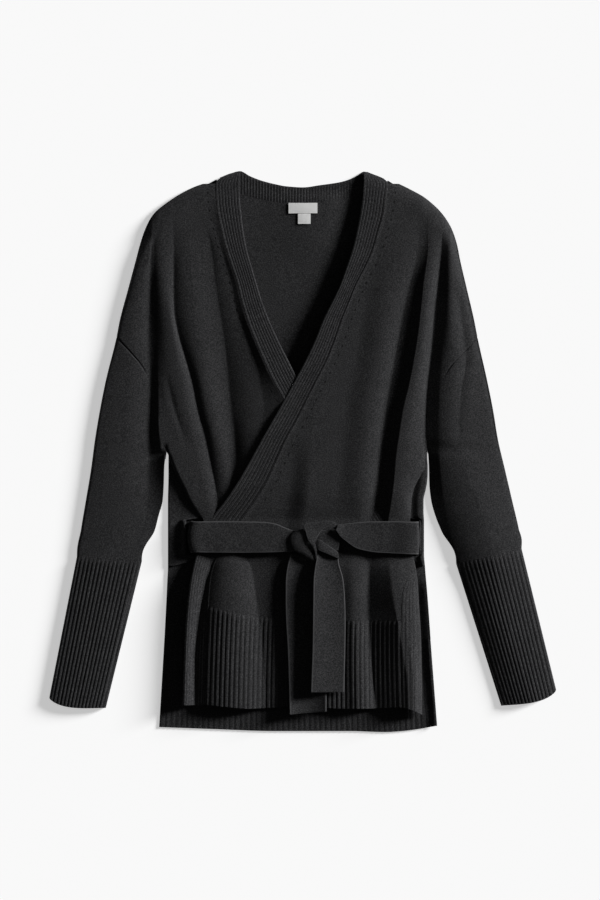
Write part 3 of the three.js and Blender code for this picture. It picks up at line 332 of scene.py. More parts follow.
BODY_RIGHT_TOP = [
    crest("soft", {184: 330, 430: 292, 460: 291, 500: 287, 519: 284},
          {184: 8.6, 215: 9.6, 245: 11.8, 285: 13.8, 430: 14.2, 460: 11.8, 490: 10.2, 507: 8.2,
           519: 5.9}),
    crest("wall", {184: 345, 430: 316, 460: 312, 500: 309, 519: 306},
          {184: 8.6, 215: 11, 245: 12.8, 285: 14.2, 335: 14.6, 482: 14.8, 495: 14.6, 507: 12.6,
           519: 9.4}),
    crest("soft", {184: 376, 245: 376, 285: 366, 310: 362, 335: 358, 360: 354, 385: 348, 435: 341,
                   519: 334},
          {184: 8.6, 215: 11.6, 245: 13, 285: 13.8, 335: 14, 482: 14, 495: 13.6, 507: 11.8,
           519: 8.8}),
    crest("fall", {184: 398, 245: 398, 285: 389, 310: 385, 335: 380, 360: 377, 385: 371, 410: 367,
                   435: 365, 460: 362, 519: 358},
          {184: 8.6, 215: 11.6, 245: 14, 285: 16, 335: 17.2, 482: 17, 495: 16, 507: 13, 519: 9.2}),
    crest("bank", {184: 420, 245: 418, 285: 410, 310: 404, 335: 399.5, 360: 395, 385: 390.5,
                   410: 386.5, 435: 383, 460: 380, 480: 378, 500: 375.5, 519: 373.5},
          {184: 8.6, 215: 11.6, 245: 11.6, 285: 10.6, 335: 9.4, 385: 8.8, 482: 8.6, 495: 8, 507: 6,
           519: 4.2}),
    crest("soft", {184: 428, 245: 428, 285: 423, 310: 420.5, 335: 417.5, 360: 413.5, 385: 408.5,
                   410: 402.5, 435: 398.5, 460: 395, 480: 393.5, 500: 391, 519: 388},
          {184: 8.6, 215: 11.6, 245: 13.4, 285: 16, 335: 17.2, 482: 17, 495: 16, 507: 12.8,
           519: 9}),
    crest("fall", {184: 432, 245: 431, 285: 426, 310: 424, 335: 421, 360: 417, 385: 412.5, 410: 407,
                   435: 403, 460: 400, 480: 398, 500: 396, 519: 394},
          {184: 8.6, 215: 11.8, 245: 13.6, 285: 16.2, 335: 17.4, 482: 17, 495: 15.8, 507: 12.8,
           519: 9.2}),
    crest("wall", lambda r: np.where(r < ARMPIT, ARM_RIGHT(r), BODY["over"](r)),
          {184: 8.6, 225: 12.4, 245: 10, 285: 7.4, 335: 6, 385: 5.4, 435: 5, 452: 5.6, 480: 8,
           500: 8, 519: 7}),
]
BODY_RIGHT_LOW = [
    crest("drop", lambda r: BAND["overEdge"](r) + 2,
          {556: 9, 572: 12.4, 588: 14, 600: 14.6, 708: 14.6}),
    crest("rise", {556: 213, 570: 210, 580: 206.5, 600: 202.5, 620: 199, 640: 196.5, 660: 195,
                   708: 195},
          {556: 4.4, 572: 5.2, 588: 5.6, 600: 5.8, 708: 6}),
    crest("fall", {556: 230, 600: 231, 640: 229, 708: 231},
          {556: 9.2, 572: 12.8, 588: 14.4, 600: 15.2, 708: 15.2}),
    crest("wall", {556: 247, 570: 252, 600: 256.5, 640: 262, 680: 264, 708: 265},
          {556: 5.4, 572: 5.6, 708: 5.7}),
    crest("wall", {556: 284, 570: 289, 600: 290, 640: 292, 708: 294},
          {556: 7.4, 572: 7.4, 600: 7.2, 708: 7.2}),
    crest("soft", {556: 306, 570: 312, 708: 314},
          {556: 8, 572: 9, 600: 9.6, 708: 9.6}),
    crest("soft", {556: 340, 708: 345},
          {556: 8, 572: 9.4, 588: 10.2, 600: 10.4, 708: 11}),
    crest("fall", {556: 352, 640: 354, 708: 357},
          {556: 8.8, 572: 11.6, 588: 12.8, 600: 13.2, 708: 13.4}),
    crest("wall", {556: 369.5, 600: 369, 640: 370, 680: 373, 708: 376},
          {556: 5.2, 572: 5.4, 588: 5.6, 600: 5.8, 708: 5.8}),
    crest("soft", {556: 389, 572: 390, 600: 393.5, 620: 397, 640: 400.5, 660: 404, 680: 407,
                   708: 408.5},
          {556: 9.2, 572: 13.4, 588: 16, 600: 17, 708: 17}),
    crest("drop", {556: 396, 600: 401, 640: 407, 680: 413, 708: 414},
          {556: 9.2, 572: 13.4, 588: 15.8, 600: 16.6, 708: 16.6}),
    crest("wall", BODY["over"],
          {556: 6, 572: 8, 588: 9, 600: 9.6, 708: 10}),
]


def fold(path, depth, left, right):
    return {"at": table_line(path), "depth": table_line(depth), "left": left, "right": right}


# Small folds on top of the sections: path, depth in mm, and reach to the left and right in cells.
FOLDS_LEFT = [
    fold({370: 166, 385: 169, 410: 175, 435: 183, 460: 191},
         {372: 0, 395: 1.2, 415: 1.4, 450: 0}, 7, 9),
    fold({184: 168, 225: 160, 300: 128},
         {184: 0, 240: 0.7, 300: 0}, 12, 12),
]
FOLDS_RIGHT = [
    fold({290: 458, 310: 460, 335: 463.5, 360: 466, 385: 462, 410: 459.5, 435: 458, 460: 457},
         {285: 0, 310: 1.8, 360: 2.6, 385: 1.6, 410: 1.2, 460: 0}, 11, 9),
]


def dips(folds, c, r):
    total = 0.0
    for f in folds:
        s = c - f["at"](r)
        k = np.clip(1 - np.abs(s) / np.where(s < 0, f["left"], f["right"]), 0, 1)
        total = total + f["depth"](r) * k * k
    return total


# In mm: sunk armhole seam, raised band seam, a band's rounded free edge, the lip of the top band
# and the curl of the back along the slit.
GROOVE, RIDGE, FREE_EDGE, LIP, CURL = 0.9, 0.5, 1.1, 1.2, 3.2


def seam_groove(side, c, r):
    """Sunk seam where a sleeve joins the dropped shoulder."""
    near = np.clip(1 - np.abs(c - ARMHOLE[side](r)) / 1.5, 0, 1)
    return GROOVE * near * ease(336, 340, r) * (1 - ease(366, 380, r))


def edge_path(edge):
    rows = np.append(np.arange(171, 698, 3.0), 698.0)
    return np.stack([X(edge(rows)), Y(rows)], 1) / MM


FAR = 60.0  # mm, past the reach of any rounding
POINTS_AT_ONCE = 6000
OUT_PATH = {side: edge_path(OUTLINE[side]) for side in ("left", "right")}


def edge_distance(side, c, r):
    """Distance in mm from chart points to the outline on one side; far points read as FAR."""
    c, r = np.broadcast_arrays(np.asarray(c, float), np.asarray(r, float))
    out = np.full(c.shape, FAR)
    near = (np.abs(c - OUTLINE[side](r)) < 60) & (r < 456)
    x, y = X(c[near]) / MM, Y(r[near]) / MM
    a, b = OUT_PATH[side][:-1], OUT_PATH[side][1:]
    d = b - a
    span = (d ** 2).sum(1)
    best = np.full(x.shape, FAR)
    for k in range(0, len(x), POINTS_AT_ONCE):
        part = slice(k, k + POINTS_AT_ONCE)
        px, py = x[part, None], y[part, None]
        t = np.clip(((px - a[:, 0]) * d[:, 0] + (py - a[:, 1]) * d[:, 1]) / span, 0, 1)
        best[part] = np.hypot(px - a[:, 0] - d[:, 0] * t, py - a[:, 1] - d[:, 1] * t).min(1)
    out[near] = best
    return out


def seam_ridge(which, c, r):
    """Raised seam between a front and its band, and the band's rounded free edge, in mm."""
    s = (c - BAND[which + "Seam"](r)) / 1.5
    edge = np.abs(c - BAND[which + "Edge"](r))
    ridge = RIDGE * np.exp(-s * s) * (1 - ease(500, 560, r))
    return (ridge - FREE_EDGE * (1 - quarter(edge / 2.2))) * ease(186, 215, r)


def soften(side, c, r, z):
    """Rounds the cloth down to the table along the outline."""
    reach = mix(SOFT_EDGE, 3 if side == "left" else 8, ease(220, 270, r))
    return mix(LAYER2, z, np.where(r < ARMPIT, quarter(edge_distance(side, c, r) / reach), 1))


def under(c, r):
    """Upper face of the left half in mm: left sleeve, wrapped-under front and its band."""
    z = np.where(c < ARM_LEFT(r), across(SLEEVE_LEFT, c, r), across(BODY_LEFT, c, r))
    z = z - dips(FOLDS_LEFT, c, r) - seam_groove("left", c, r) + seam_ridge("under", c, r)
    past = ease(0, 30, c - BAND["overEdge"](r)) * ease(352, 384, r)
    z = mix(z, LEVEL["hidden"](r), np.where(r > 521, 1, past))
    z = soften("left", c, r, z)
    base = np.minimum(z, HIDDEN + 2)
    turned = quarter((c - BODY["under"](r)) * CELL_MM / 6)
    z = mix(z, mix(base, z, turned), ease(440, 456, r) * (1 - ease(512, 520, r)))
    return np.maximum(z, HIDDEN)


def over(c, r):
    """Upper face of the right half in mm: right sleeve, front laid on top and its band."""
    body = mix(across(BODY_RIGHT_TOP, c, r), across(BODY_RIGHT_LOW, c, r), ease(532, 544, r))
    z = np.where((c > ARM_RIGHT(r)) & (r < 470), across(SLEEVE_RIGHT, c, r), body)
    z = z - dips(FOLDS_RIGHT, c, r) - seam_groove("right", c, r) + seam_ridge("over", c, r)
    lip = np.clip(1 - (c - BAND["overEdge"](r)) / 20, 0, 1)
    z = z + LIP * lip * lip * ease(205, 260, r) * (1 - ease(480, 516, r))
    z = soften("right", c, r, z)
    reach = mix(BODY_EDGE, 12, ease(556, 580, r))
    base = np.minimum(z, mix(HIDDEN + 0.3, 5, ease(556, 580, r)))
    turned = quarter((BODY["over"](r) - c) * CELL_MM / reach)
    belted = ease(512, 520, r) * (1 - ease(553, 562, r))
    z = mix(z, mix(base, z, turned), ease(440, 456, r) * (1 - belted))
    return np.maximum(z, HIDDEN)


# Mesh helpers. A patch is (columns, rows, place, flip). place turns two arrays that run from 0 to
# 1, across and down the cloth, into points, relief and cloth coordinates in metres, and then marks.
def points(c, r, z_mm):
    c, r, z_mm = np.broadcast_arrays(c, r, z_mm)
    return np.stack([X(c), Y(r), z_mm * MM], 1)


def rows_at(v, n, stops):
    """Rows spaced evenly between stops, with each stop on a row of the grid."""
    stops = np.array(stops, float)
    index = np.round((stops - stops[0]) / (stops[-1] - stops[0]) * n)
    return np.interp(v * n, index, stops)


def between_lines(u, knots, lines):
    """Columns between key lines, kept in order however narrow the cloth is."""
    keys = np.array(np.broadcast_arrays(*lines))
    gap = np.minimum(3.0, (keys[-1] - keys[0]) * 0.12)
    for j in range(1, len(keys) - 1):
        keys[j] = np.maximum(keys[j], keys[j - 1] + gap)
    for j in range(len(keys) - 2, 0, -1):
        keys[j] = np.minimum(keys[j], keys[j + 1] - gap)
    k = np.clip(np.searchsorted(knots, u, side="right") - 1, 0, len(knots) - 2)
    t = (u - np.take(knots, k)) / (np.take(knots, k + 1) - np.take(knots, k))
    at = np.arange(len(u))
    return mix(keys[k, at], keys[k + 1, at], t)


def ribs(f, count, height, power=0.85):
    return height * np.abs(np.sin(np.pi * count * f)) ** power


def make_piece(name, patches, material, thickness):
    """Mesh object from grid patches, with relief along its normals and a wall inside it."""
    bm = bmesh.new()
    cloth = bm.loops.layers.uv.new("cloth")
    seam = bm.loops.layers.uv.new("seam")
    for columns, rows, place, flip in patches:
        made = bmesh.ops.create_grid(bm, x_segments=columns, y_segments=rows, size=0.5)["verts"]
        u = np.round(np.array([v.co.x for v in made]) + 0.5, 6)
        v = np.round(0.5 - np.array([v.co.y for v in made]), 6)
        p, relief, coords, *rest = place(u, v)
        marks = rest[0] if rest else np.zeros((len(u), 2))
        for vert, q in zip(made, p.tolist()):
            vert.co = q
        faces = list({f for vert in made for f in vert.link_faces})
        if flip:
            bmesh.ops.reverse_faces(bm, faces=faces)
        place_of = {vert: k for k, vert in enumerate(made)}
        coords, marks = coords.tolist(), marks.tolist()
        for face in faces:
            for loop in face.loops:
                k = place_of[loop.vert]
                loop[cloth].uv = coords[k]
                loop[seam].uv = marks[k]
        bm.normal_update()
        relief = np.broadcast_to(relief, u.shape).tolist()
        for vert, up in zip(made, relief):
            if up:
                vert.co += vert.normal * up
    bmesh.ops.remove_doubles(bm, verts=bm.verts, dist=2e-5)
    for edge in bm.edges:
        if edge.is_boundary:
            edge.smooth = False
    for face in bm.faces:
        face.smooth = True
    mesh = bpy.data.meshes.new(name)
    bm.to_mesh(mesh)
    bm.free()
    obj = bpy.data.objects.new(name, mesh)
    bpy.context.scene.collection.objects.link(obj)
    mesh.materials.append(material)
    if thickness:
        shell = obj.modifiers.new("wall", "SOLIDIFY")
        shell.thickness = thickness
        shell.offset = -1
    return obj


def declare(obj, nodes):
    """Ties a finished sheet to the part and hides the solids that it replaces."""
    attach(obj, "root")
    if nodes:
        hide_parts(*nodes)


# Materials.
def socket_group(name, inputs, outputs):
    group = bpy.data.node_groups.new(name, "ShaderNodeTree")
    for label, kind, default in inputs:
        s = group.interface.new_socket(name=label, in_out="INPUT", socket_type=kind)
        if default is not None:
            s.default_value = default
    for label, kind in outputs:
        group.interface.new_socket(name=label, in_out="OUTPUT", socket_type=kind)
    return group, group.nodes.new("NodeGroupInput"), group.nodes.new("NodeGroupOutput")


def maths(tree, operation, a, b=None, c=None, clamp=False):
    node = tree.nodes.new("ShaderNodeMath")
    node.operation = operation
    node.use_clamp = clamp
    for k, value in enumerate((a, b, c)):
        if value is None:
            continue
        if isinstance(value, (int, float)):
            node.inputs[k].default_value = value
        else:
            tree.links.new(value, node.inputs[k])
    return node.outputs[0]


def parts_of(group, vector):
    """X and Y of a vector."""
    split = group.nodes.new("ShaderNodeSeparateXYZ")
    group.links.new(vector, split.inputs[0])
    return split.outputs["X"], split.outputs["Y"]


def blend_colours(tree, mask, low, high):
    """Colour between two sockets' or values' colours by a mask."""
    node = tree.nodes.new("ShaderNodeMix")
    node.data_type = "RGBA"
    tree.links.new(mask, node.inputs["Factor"])
    for socket, colour_in in ((node.inputs[6], low), (node.inputs[7], high)):
        if isinstance(colour_in, bpy.types.NodeSocket):
            tree.links.new(colour_in, socket)
        else:
            socket.default_value = colour_in
    return node.outputs[2]


def new_material(name, roughness):
    mat = bpy.data.materials.new(name)
    mat.use_nodes = True
    shader = mat.node_tree.nodes["Principled BSDF"]
    shader.inputs["Roughness"].default_value = roughness
    return mat, mat.node_tree, shader


def add_bump(tree, shader, height, distance, amount=1.0):
    bump = tree.nodes.new("ShaderNodeBump")
    bump.inputs["Distance"].default_value = distance
    bump.inputs["Strength"].default_value = amount
    tree.links.new(height, bump.inputs["Height"])
    tree.links.new(bump.outputs[0], shader.inputs["Normal"])


def stitch_group():
    """Height of plain knit stitches: two slanted legs in each wale, one V on each course."""
    group, take, give = socket_group("Knit stitches", [
        ("Cloth", "NodeSocketVector", None), ("Wale", "NodeSocketFloat", 0.0014),
        ("Course", "NodeSocketFloat", 0.0011)],
        [("Height", "NodeSocketFloat"), ("Gap", "NodeSocketFloat")])
    calc = partial(maths, group)
    x, y = parts_of(group, take.outputs["Cloth"])
    x = calc("DIVIDE", x, take.outputs["Wale"])
    y = calc("DIVIDE", y, take.outputs["Course"])
    across = calc("ABSOLUTE", calc("SUBTRACT", calc("MULTIPLY", calc("FRACT", x), 2.0), 1.0))
    slant = calc("ADD", y, calc("MULTIPLY", across, 0.7))
    leg = calc("ABSOLUTE", calc("SINE", calc("MULTIPLY", x, 2 * math.pi)))
    turn = calc("ABSOLUTE", calc("SINE", calc("MULTIPLY", slant, math.pi)))
    height = calc("MULTIPLY", calc("POWER", leg, 0.6), calc("POWER", turn, 0.5))
    group.links.new(height, give.inputs["Height"])
    group.links.new(calc("SUBTRACT", 1.0, height, clamp=True), give.inputs["Gap"])
    return group


# Half of a fashioning mark across, in cells, and along, as a share of the pitch.
PIT_WIDTH, PIT_LENGTH = 1.1, 0.19


def fashion_pits_and_shade_group():
    """Mask of the fashioning marks, in chart cells: a row of small pits beside the band's seam,
    sunk in the bump and darkened with painted shade.
    """
    group, take, give = socket_group("Fashioning pits and painted shade", [
        ("Seam", "NodeSocketVector", None), ("Away", "NodeSocketFloat", 8.0),
        ("Pitch", "NodeSocketFloat", 9.0)], [("Mask", "NodeSocketFloat")])
    calc = partial(maths, group)
    x, y = parts_of(group, take.outputs["Seam"])
    x = calc("DIVIDE", calc("SUBTRACT", x, take.outputs["Away"]), PIT_WIDTH)
    y = calc("FRACT", calc("DIVIDE", y, take.outputs["Pitch"]))
    y = calc("DIVIDE", calc("SUBTRACT", y, 0.5), PIT_LENGTH)
    far = calc("ADD", calc("MULTIPLY", x, x), calc("MULTIPLY", y, y))
    group.links.new(calc("SUBTRACT", 1.0, far, clamp=True), give.inputs["Mask"])
    return group


def strap_edge_lift_and_highlight_group():
    """Mask of the two lengthwise edges of a strap, raised in the bump and lightened with a painted
    highlight.
    """
    group, take, give = socket_group("Strap edges and painted highlight", [
        ("Seam", "NodeSocketVector", None), ("Width", "NodeSocketFloat", 0.05)],
        [("Mask", "NodeSocketFloat")])
    calc = partial(maths, group)
    x = parts_of(group, take.outputs["Seam"])[0]
    side = calc("ABSOLUTE", calc("SUBTRACT", x, 0.5))
    near = calc("SUBTRACT", side, calc("SUBTRACT", 0.5, take.outputs["Width"]))
    group.links.new(calc("DIVIDE", near, take.outputs["Width"], clamp=True), give.inputs["Mask"])
    return group


def heather_group():
    """Colour of a heathered yarn: light fibres twisted in with dark ones, with painted shade in the
    gaps between stitches.
    """
    group, take, give = socket_group("Heathered yarn", [
        ("Place", "NodeSocketVector", None), ("Dark", "NodeSocketColor", (0.01, 0.01, 0.01, 1)),
        ("Light", "NodeSocketColor", (0.06, 0.06, 0.06, 1)), ("Grain", "NodeSocketFloat", 700.0),
        ("Gap", "NodeSocketFloat", 0.0)],
        [("Colour", "NodeSocketColor"), ("Fuzz", "NodeSocketFloat")])
    calc = partial(maths, group)
    fine = group.nodes.new("ShaderNodeTexNoise")
    fine.inputs["Detail"].default_value = 3.0
    fine.inputs["Roughness"].default_value = 0.62
    group.links.new(take.outputs["Place"], fine.inputs["Vector"])
    group.links.new(take.outputs["Grain"], fine.inputs["Scale"])
    wide = group.nodes.new("ShaderNodeTexNoise")
    wide.inputs["Scale"].default_value = 60.0
    wide.inputs["Detail"].default_value = 2.0
    group.links.new(take.outputs["Place"], wide.inputs["Vector"])
    mask = calc("MULTIPLY_ADD", calc("SUBTRACT", fine.outputs["Fac"], 0.5), 3.4, 0.36)
    mask = calc("MULTIPLY_ADD", calc("SUBTRACT", wide.outputs["Fac"], 0.5), 0.25, mask)
    # Painted shade: fewer light fibres, so a darker yarn, in the gaps between stitches.
    mask = calc("SUBTRACT", mask, calc("MULTIPLY", take.outputs["Gap"], 0.22), clamp=True)
    colours_mixed = blend_colours(group, mask, take.outputs["Dark"], take.outputs["Light"])
    group.links.new(colours_mixed, give.inputs["Colour"])
    group.links.new(fine.outputs["Fac"], give.inputs["Fuzz"])
    return group


def shared_group(name, build):
    return bpy.data.node_groups.get(name) or build()


def place_group(tree, group, **values):
    node = tree.nodes.new("ShaderNodeGroup")
    node.node_tree = group
    for key, value in values.items():
        if isinstance(value, bpy.types.NodeSocket):
            tree.links.new(value, node.inputs[key])
        else:
            node.inputs[key].default_value = value
    return node


# Details that a knit can carry: its group, the group's name, a painted tint and height in stitches.
DETAILS = {
    # Fashioning pits: tinted near black, darker than any fibre, as painted shade in the pits.
    "marks": (fashion_pits_and_shade_group, "Fashioning pits and painted shade", (0.004, 0.004, 0.004, 1), -2.0),
    # Strap edges: tinted lighter than any fibre, as a painted highlight along the rounded edges.
    "edges": (strap_edge_lift_and_highlight_group, "Strap edges and painted highlight", (0.085, 0.085, 0.088, 1), 1.0),
}
# Knits by use: wale, course and relief in metres, and a detail.
KNITS = {
    "plain": (0.0014, 0.0012, 0.00035, None),
    "front": (0.0014, 0.0012, 0.00035, "marks"),
    "rib": (0.0039, 0.0016, 0.0003, None),
    "belt": (0.0013, 0.0011, 0.00025, "edges"),
}
SHEEN, SHEEN_TINT = 0.13, (0.16, 0.16, 0.165, 1)


def knit(use):
    """Heathered knit: yarn on object coordinates, stitches on the cloth's own coordinates."""
    name = f"charcoal_{use}_knit"
    if name in bpy.data.materials:
        return bpy.data.materials[name]
    wale, course, relief, detail = KNITS[use]
    mat, tree, shader = new_material(name, 0.92)
    shader.inputs["Specular IOR Level"].default_value = 0.18
    shader.inputs["Sheen Weight"].default_value = SHEEN
    shader.inputs["Sheen Roughness"].default_value = 0.45
    shader.inputs["Sheen Tint"].default_value = SHEEN_TINT
    coords = tree.nodes.new("ShaderNodeTexCoord")
    uv = tree.nodes.new("ShaderNodeUVMap")
    uv.uv_map = "cloth"
    stitches = place_group(tree, shared_group("Knit stitches", stitch_group), Cloth=uv.outputs[0],
                           Wale=wale, Course=course)
    c = colours()
    yarn = place_group(tree, shared_group("Heathered yarn", heather_group),
                       Place=coords.outputs["Object"], Dark=(*c.yarn, 1), Light=(*c.fibre, 1),
                       Gap=stitches.outputs["Gap"])
    tint = yarn.outputs["Colour"]
    height = maths(tree, "MULTIPLY_ADD", yarn.outputs["Fuzz"], 0.5, stitches.outputs["Height"])
    if detail:
        seam = tree.nodes.new("ShaderNodeUVMap")
        seam.uv_map = "seam"
        # The detail's tint is painted light: shade in the fashioning pits, a highlight along a
        # strap's edges.
        build, label, painted_light_tint, up = DETAILS[detail]
        mask = place_group(tree, shared_group(label, build), Seam=seam.outputs[0]).outputs["Mask"]
        tint = blend_colours(tree, mask, tint, painted_light_tint)
        height = maths(tree, "MULTIPLY_ADD", mask, up, height)
    tree.links.new(tint, shader.inputs["Base Color"])
    add_bump(tree, shader, height, relief, 0.8)
    return mat


def label_material():
    if "woven_label" in bpy.data.materials:
        return bpy.data.materials["woven_label"]
    mat, tree, shader = new_material("woven_label", 0.6)
    shader.inputs["Base Color"].default_value = (*colours().label, 1)
    coords = tree.nodes.new("ShaderNodeTexCoord")
    weave = tree.nodes.new("ShaderNodeTexWave")
    weave.inputs["Scale"].default_value = 900.0
    weave.inputs["Distortion"].default_value = 1.0
    tree.links.new(coords.outputs["Object"], weave.inputs["Vector"])
    add_bump(tree, shader, weave.outputs["Fac"], 0.0001)
    return mat


# Sheets. Each place function reads the chart tables at the top of the script.
def left_edge(r):
    low = np.where(r <= 452, ARMHOLE["left"](r), BODY["under"](r))
    return np.where(r <= 338, OUTLINE["left"](r), low)


def right_edge(r):
    low = np.where(r <= 452, ARMHOLE["right"](r), np.where(r < 574, BODY["over"](r), SLIT(r)))
    return np.where(r <= 338, OUTLINE["right"](r), low)


def planar(c, r):
    return np.stack([X(c), Y(r)], 1)


def marks_at(which, c, r):
    """Chart distance from a band's seam and row, for the fashioning marks."""
    away = np.abs(c - BAND[which + "Seam"](r))
    return np.stack([np.where(r > 505, 30.0, away), r], 1)


def place_front_under(rows):
    """The front that wraps under, on grid lines that follow its two deepest creases."""
    def place(u, v):
        r = rows_at(v, rows, FRONT_STOPS)
        c = between_lines(u, (0, 0.15, 0.4, 0.62, 1), [
            left_edge(r), np.maximum(ARM_LEFT(r), left_edge(r)), BODY_LEFT[3]["at"](r),
            BODY_LEFT[5]["at"](r), BAND["underSeam"](r)])
        return points(c, r, under(c, r)), 0.0, planar(c, r), marks_at("under", c, r)
    return place


# Columns where the top front's hem seam meets its band and its slit facing.
HEM_LEFT, HEM_RIGHT = 209, 405


def low_row(c, step):
    """Row under the belt, that share of the way to the hem seam."""
    return mix(BELT_DOWN, FRONT_HEM["top"](c), step)


def place_front_over(rows):
    """The front laid on top; under the belt its rows run down to the curved hem seam."""
    def place(u, v):
        base = rows_at(v, rows, FRONT_STOPS)
        step = np.clip((base - BELT_DOWN) / (HEM_SEAM - BELT_DOWN), 0, 1)
        left = np.where(step > 0, low_row(HEM_LEFT, step), base)
        right = np.where(step > 0, low_row(HEM_RIGHT, step), base)
        rm = mix(left, right, u)
        low = rm > 538
        c = between_lines(u, (0, 0.3, 0.55, 0.68, 0.85, 1), [
            BAND["overSeam"](left), np.where(low, 261, BODY_RIGHT_TOP[2]["at"](rm)),
            np.where(low, BODY_RIGHT_LOW[8]["at"](rm), BODY_RIGHT_TOP[4]["at"](rm)),
            np.where(low, 397, BODY_RIGHT_TOP[5]["at"](rm)),
            np.minimum(ARM_RIGHT(rm), right_edge(right) - 2), right_edge(right)])
        r = np.where(step > 0, low_row(c, step), base)
        r = np.where(u <= 0, left, np.where(u >= 1, right, r))
        return points(c, r, over(c, r)), 0.0, planar(c, r), marks_at("over", c, r)
    return place


def arc_length(edge, seam):
    """Distance in metres along the middle of a band, by row."""
    r = np.arange(171.0, 716.0, 1.0)
    c = (edge(r) + seam(r)) / 2
    s = np.concatenate([[0], np.cumsum(np.hypot(np.diff(c), 1.0) * CELL)])
    return lambda at: np.interp(at, r, s)


BAND_WIDTH, SLIT_WIDTH, CUFF_WIDTH = 0.0312, 0.026, 0.0755  # metres of ribbing, for its stitches


def place_band(which, rows, last):
    """A front's band from the shoulder down to its last row, ribbed lengthwise."""
    edge, seam = BAND[which + "Edge"], BAND[which + "Seam"]
    height = over if which == "over" else under
    side = "right" if which == "over" else "left"
    along = arc_length(edge, seam)
    count, tall = sizes().band_ribs, sizes().rib_band

    def place(u, v):
        f = 1 - u if which == "under" else u
        r = rows_at(v, rows, (172.2, *FRONT_STOPS[:-1], last))
        s = seam(r)
        shoulder = OUTLINE[side](r)
        inside = np.maximum if side == "left" else np.minimum
        s = np.where(r < SHOULDER, inside(s, shoulder), s)
        c = mix(edge(r), s, f)
        raised = ribs(f, count, tall) * ease(172, 180, r)
        return points(c, r, height(c, r)), raised, np.stack([f * BAND_WIDTH, along(r)], 1)
    return place


class CARDIGAN_OT_fronts(bpy.types.Operator):
    """Both fronts in plain knit, from shoulder to hem seam"""

    bl_idname = "cardigan.fronts"
    bl_label = "Fronts"

    def execute(self, context):
        wall = sizes().wall
        place = place_front_under(FRONT_ROWS)
        obj = make_piece("front_wrapped_under", [(130, FRONT_ROWS, place, False)],
                         knit("front"), wall)
        declare(obj, ["front_under"])
        place = place_front_over(FRONT_ROWS)
        obj = make_piece("front_on_top", [(160, FRONT_ROWS, place, False)], knit("front"), wall)
        declare(obj, ["front_over"])
        return {"FINISHED"}


class CARDIGAN_OT_bands(bpy.types.Operator):
    """Ribbed bands along the edges of both fronts"""

    bl_idname = "cardigan.bands"
    bl_label = "Front bands"

    def execute(self, context):
        columns, wall = sizes().band_ribs * RIB_STEPS, sizes().wall
        place = place_band("under", UNDER_BAND_ROWS, HEM_SEAM)
        obj = make_piece("band_wrapped_under", [(columns, UNDER_BAND_ROWS, place, False)],
                         knit("rib"), wall)
        declare(obj, ["band_under"])
        place = place_band("over", OVER_BAND_ROWS, 704.6)
        obj = make_piece("band_on_top", [(columns, OVER_BAND_ROWS, place, False)],
                         knit("rib"), wall)
        declare(obj, ["band_over"])
        return {"FINISHED"}


def place_front_hem(u, v):
    left = mix(low_row(HEM_LEFT, 1), FRONT_HEM["bottom"](206), v)
    right = mix(low_row(HEM_RIGHT, 1), FRONT_HEM["bottom"](401), v)
    c = mix(BAND["overSeam"](left), SLIT(right), u)
    r = mix(FRONT_HEM["top"](c) + 0.15, FRONT_HEM["bottom"](c), v)
    relief = ribs(u, sizes().hem_ribs, sizes().rib_hem) * ease(0, 0.03, v)
    return points(c, r, over(c, r)), relief, planar(c, r)


def place_slit_band(u, v):
    r0 = mix(566, 706.6, v)
    c = mix(SLIT(r0), BODY["over"](r0), u)
    r = r0 + np.maximum(0, FRONT_HEM["bottom"](c) - FRONT_HEM["bottom"](401)) * ease(0.8, 1, v)
    relief = ribs(u, 5, sizes().rib_band) * ease(574, 590, r)
    return points(c, r, over(c, r)), relief, np.stack([u * SLIT_WIDTH, Y(r)], 1)


def place_back_hem(u, v):
    c = mix(mix(BODY["foldLeft"](639), BODY["foldLeft"](726), v),
            mix(BODY["foldRight"](639), BODY["foldRight"](726), v), u)
    r = mix(638.6, BACK_HEM["bottom"](c), v)
    relief = ribs(u, sizes().back_ribs, 0.5 * MM)
    return points(c, r, LAYER1 - 0.5 + curl_right(c, r, BODY["foldRight"](r))), relief, planar(c, r)


class CARDIGAN_OT_hems(bpy.types.Operator):
    """Ribbed hems of the top front and the back, and the facing of the side slit"""

    bl_idname = "cardigan.hems"
    bl_label = "Hems"

    def execute(self, context):
        s = sizes()
        obj = make_piece("front_hem", [(s.hem_ribs * RIB_STEPS, 46, place_front_hem, False)],
                         knit("rib"), s.wall)
        declare(obj, ["front_over_hem"])
        obj = make_piece("slit_facing", [(5 * RIB_STEPS, 70, place_slit_band, False)], knit("rib"),
                         s.wall)
        declare(obj, ["slit_band_over"])
        obj = make_piece("back_hem_ribs", [(s.back_ribs * RIB_STEPS, 30, place_back_hem, False)],
                         knit("rib"), BACK_HEM_WALL)
        declare(obj, ["back_hem"])
        return {"FINISHED"}


# Back: a flat sheet, and its sides folded forward over it up to the side seams.
RISE_AT = table_line({190: 324, 204: 323, 260: 312, 310: 290, 352: 280})
RISE_BY = table_line({190: 2.4, 200: 4.4, 235: 4.4, 265: 2.4, 310: 1.2, 350: 0})
# Columns along the neck seam from shoulder to shoulder; the middle one is the centre back's.
TOP_STOPS = [216 + k * 172 / 12 + (k == 6) for k in range(13)]


def neck_rise(c, r):
    """How far the back stands up over the table inside the neck opening, in mm."""
    top = RISE_AT(r)
    side = np.where(c < top, ease(top - 74, top, c), 1 - ease(top, top + 36, c))
    return RISE_BY(r) * side


def curl_right(c, r, edge):
    """Lift of the back's right side along the slit, in mm."""
    return CURL * ease(edge - 9, edge - 1, c) * ease(566, 590, r)


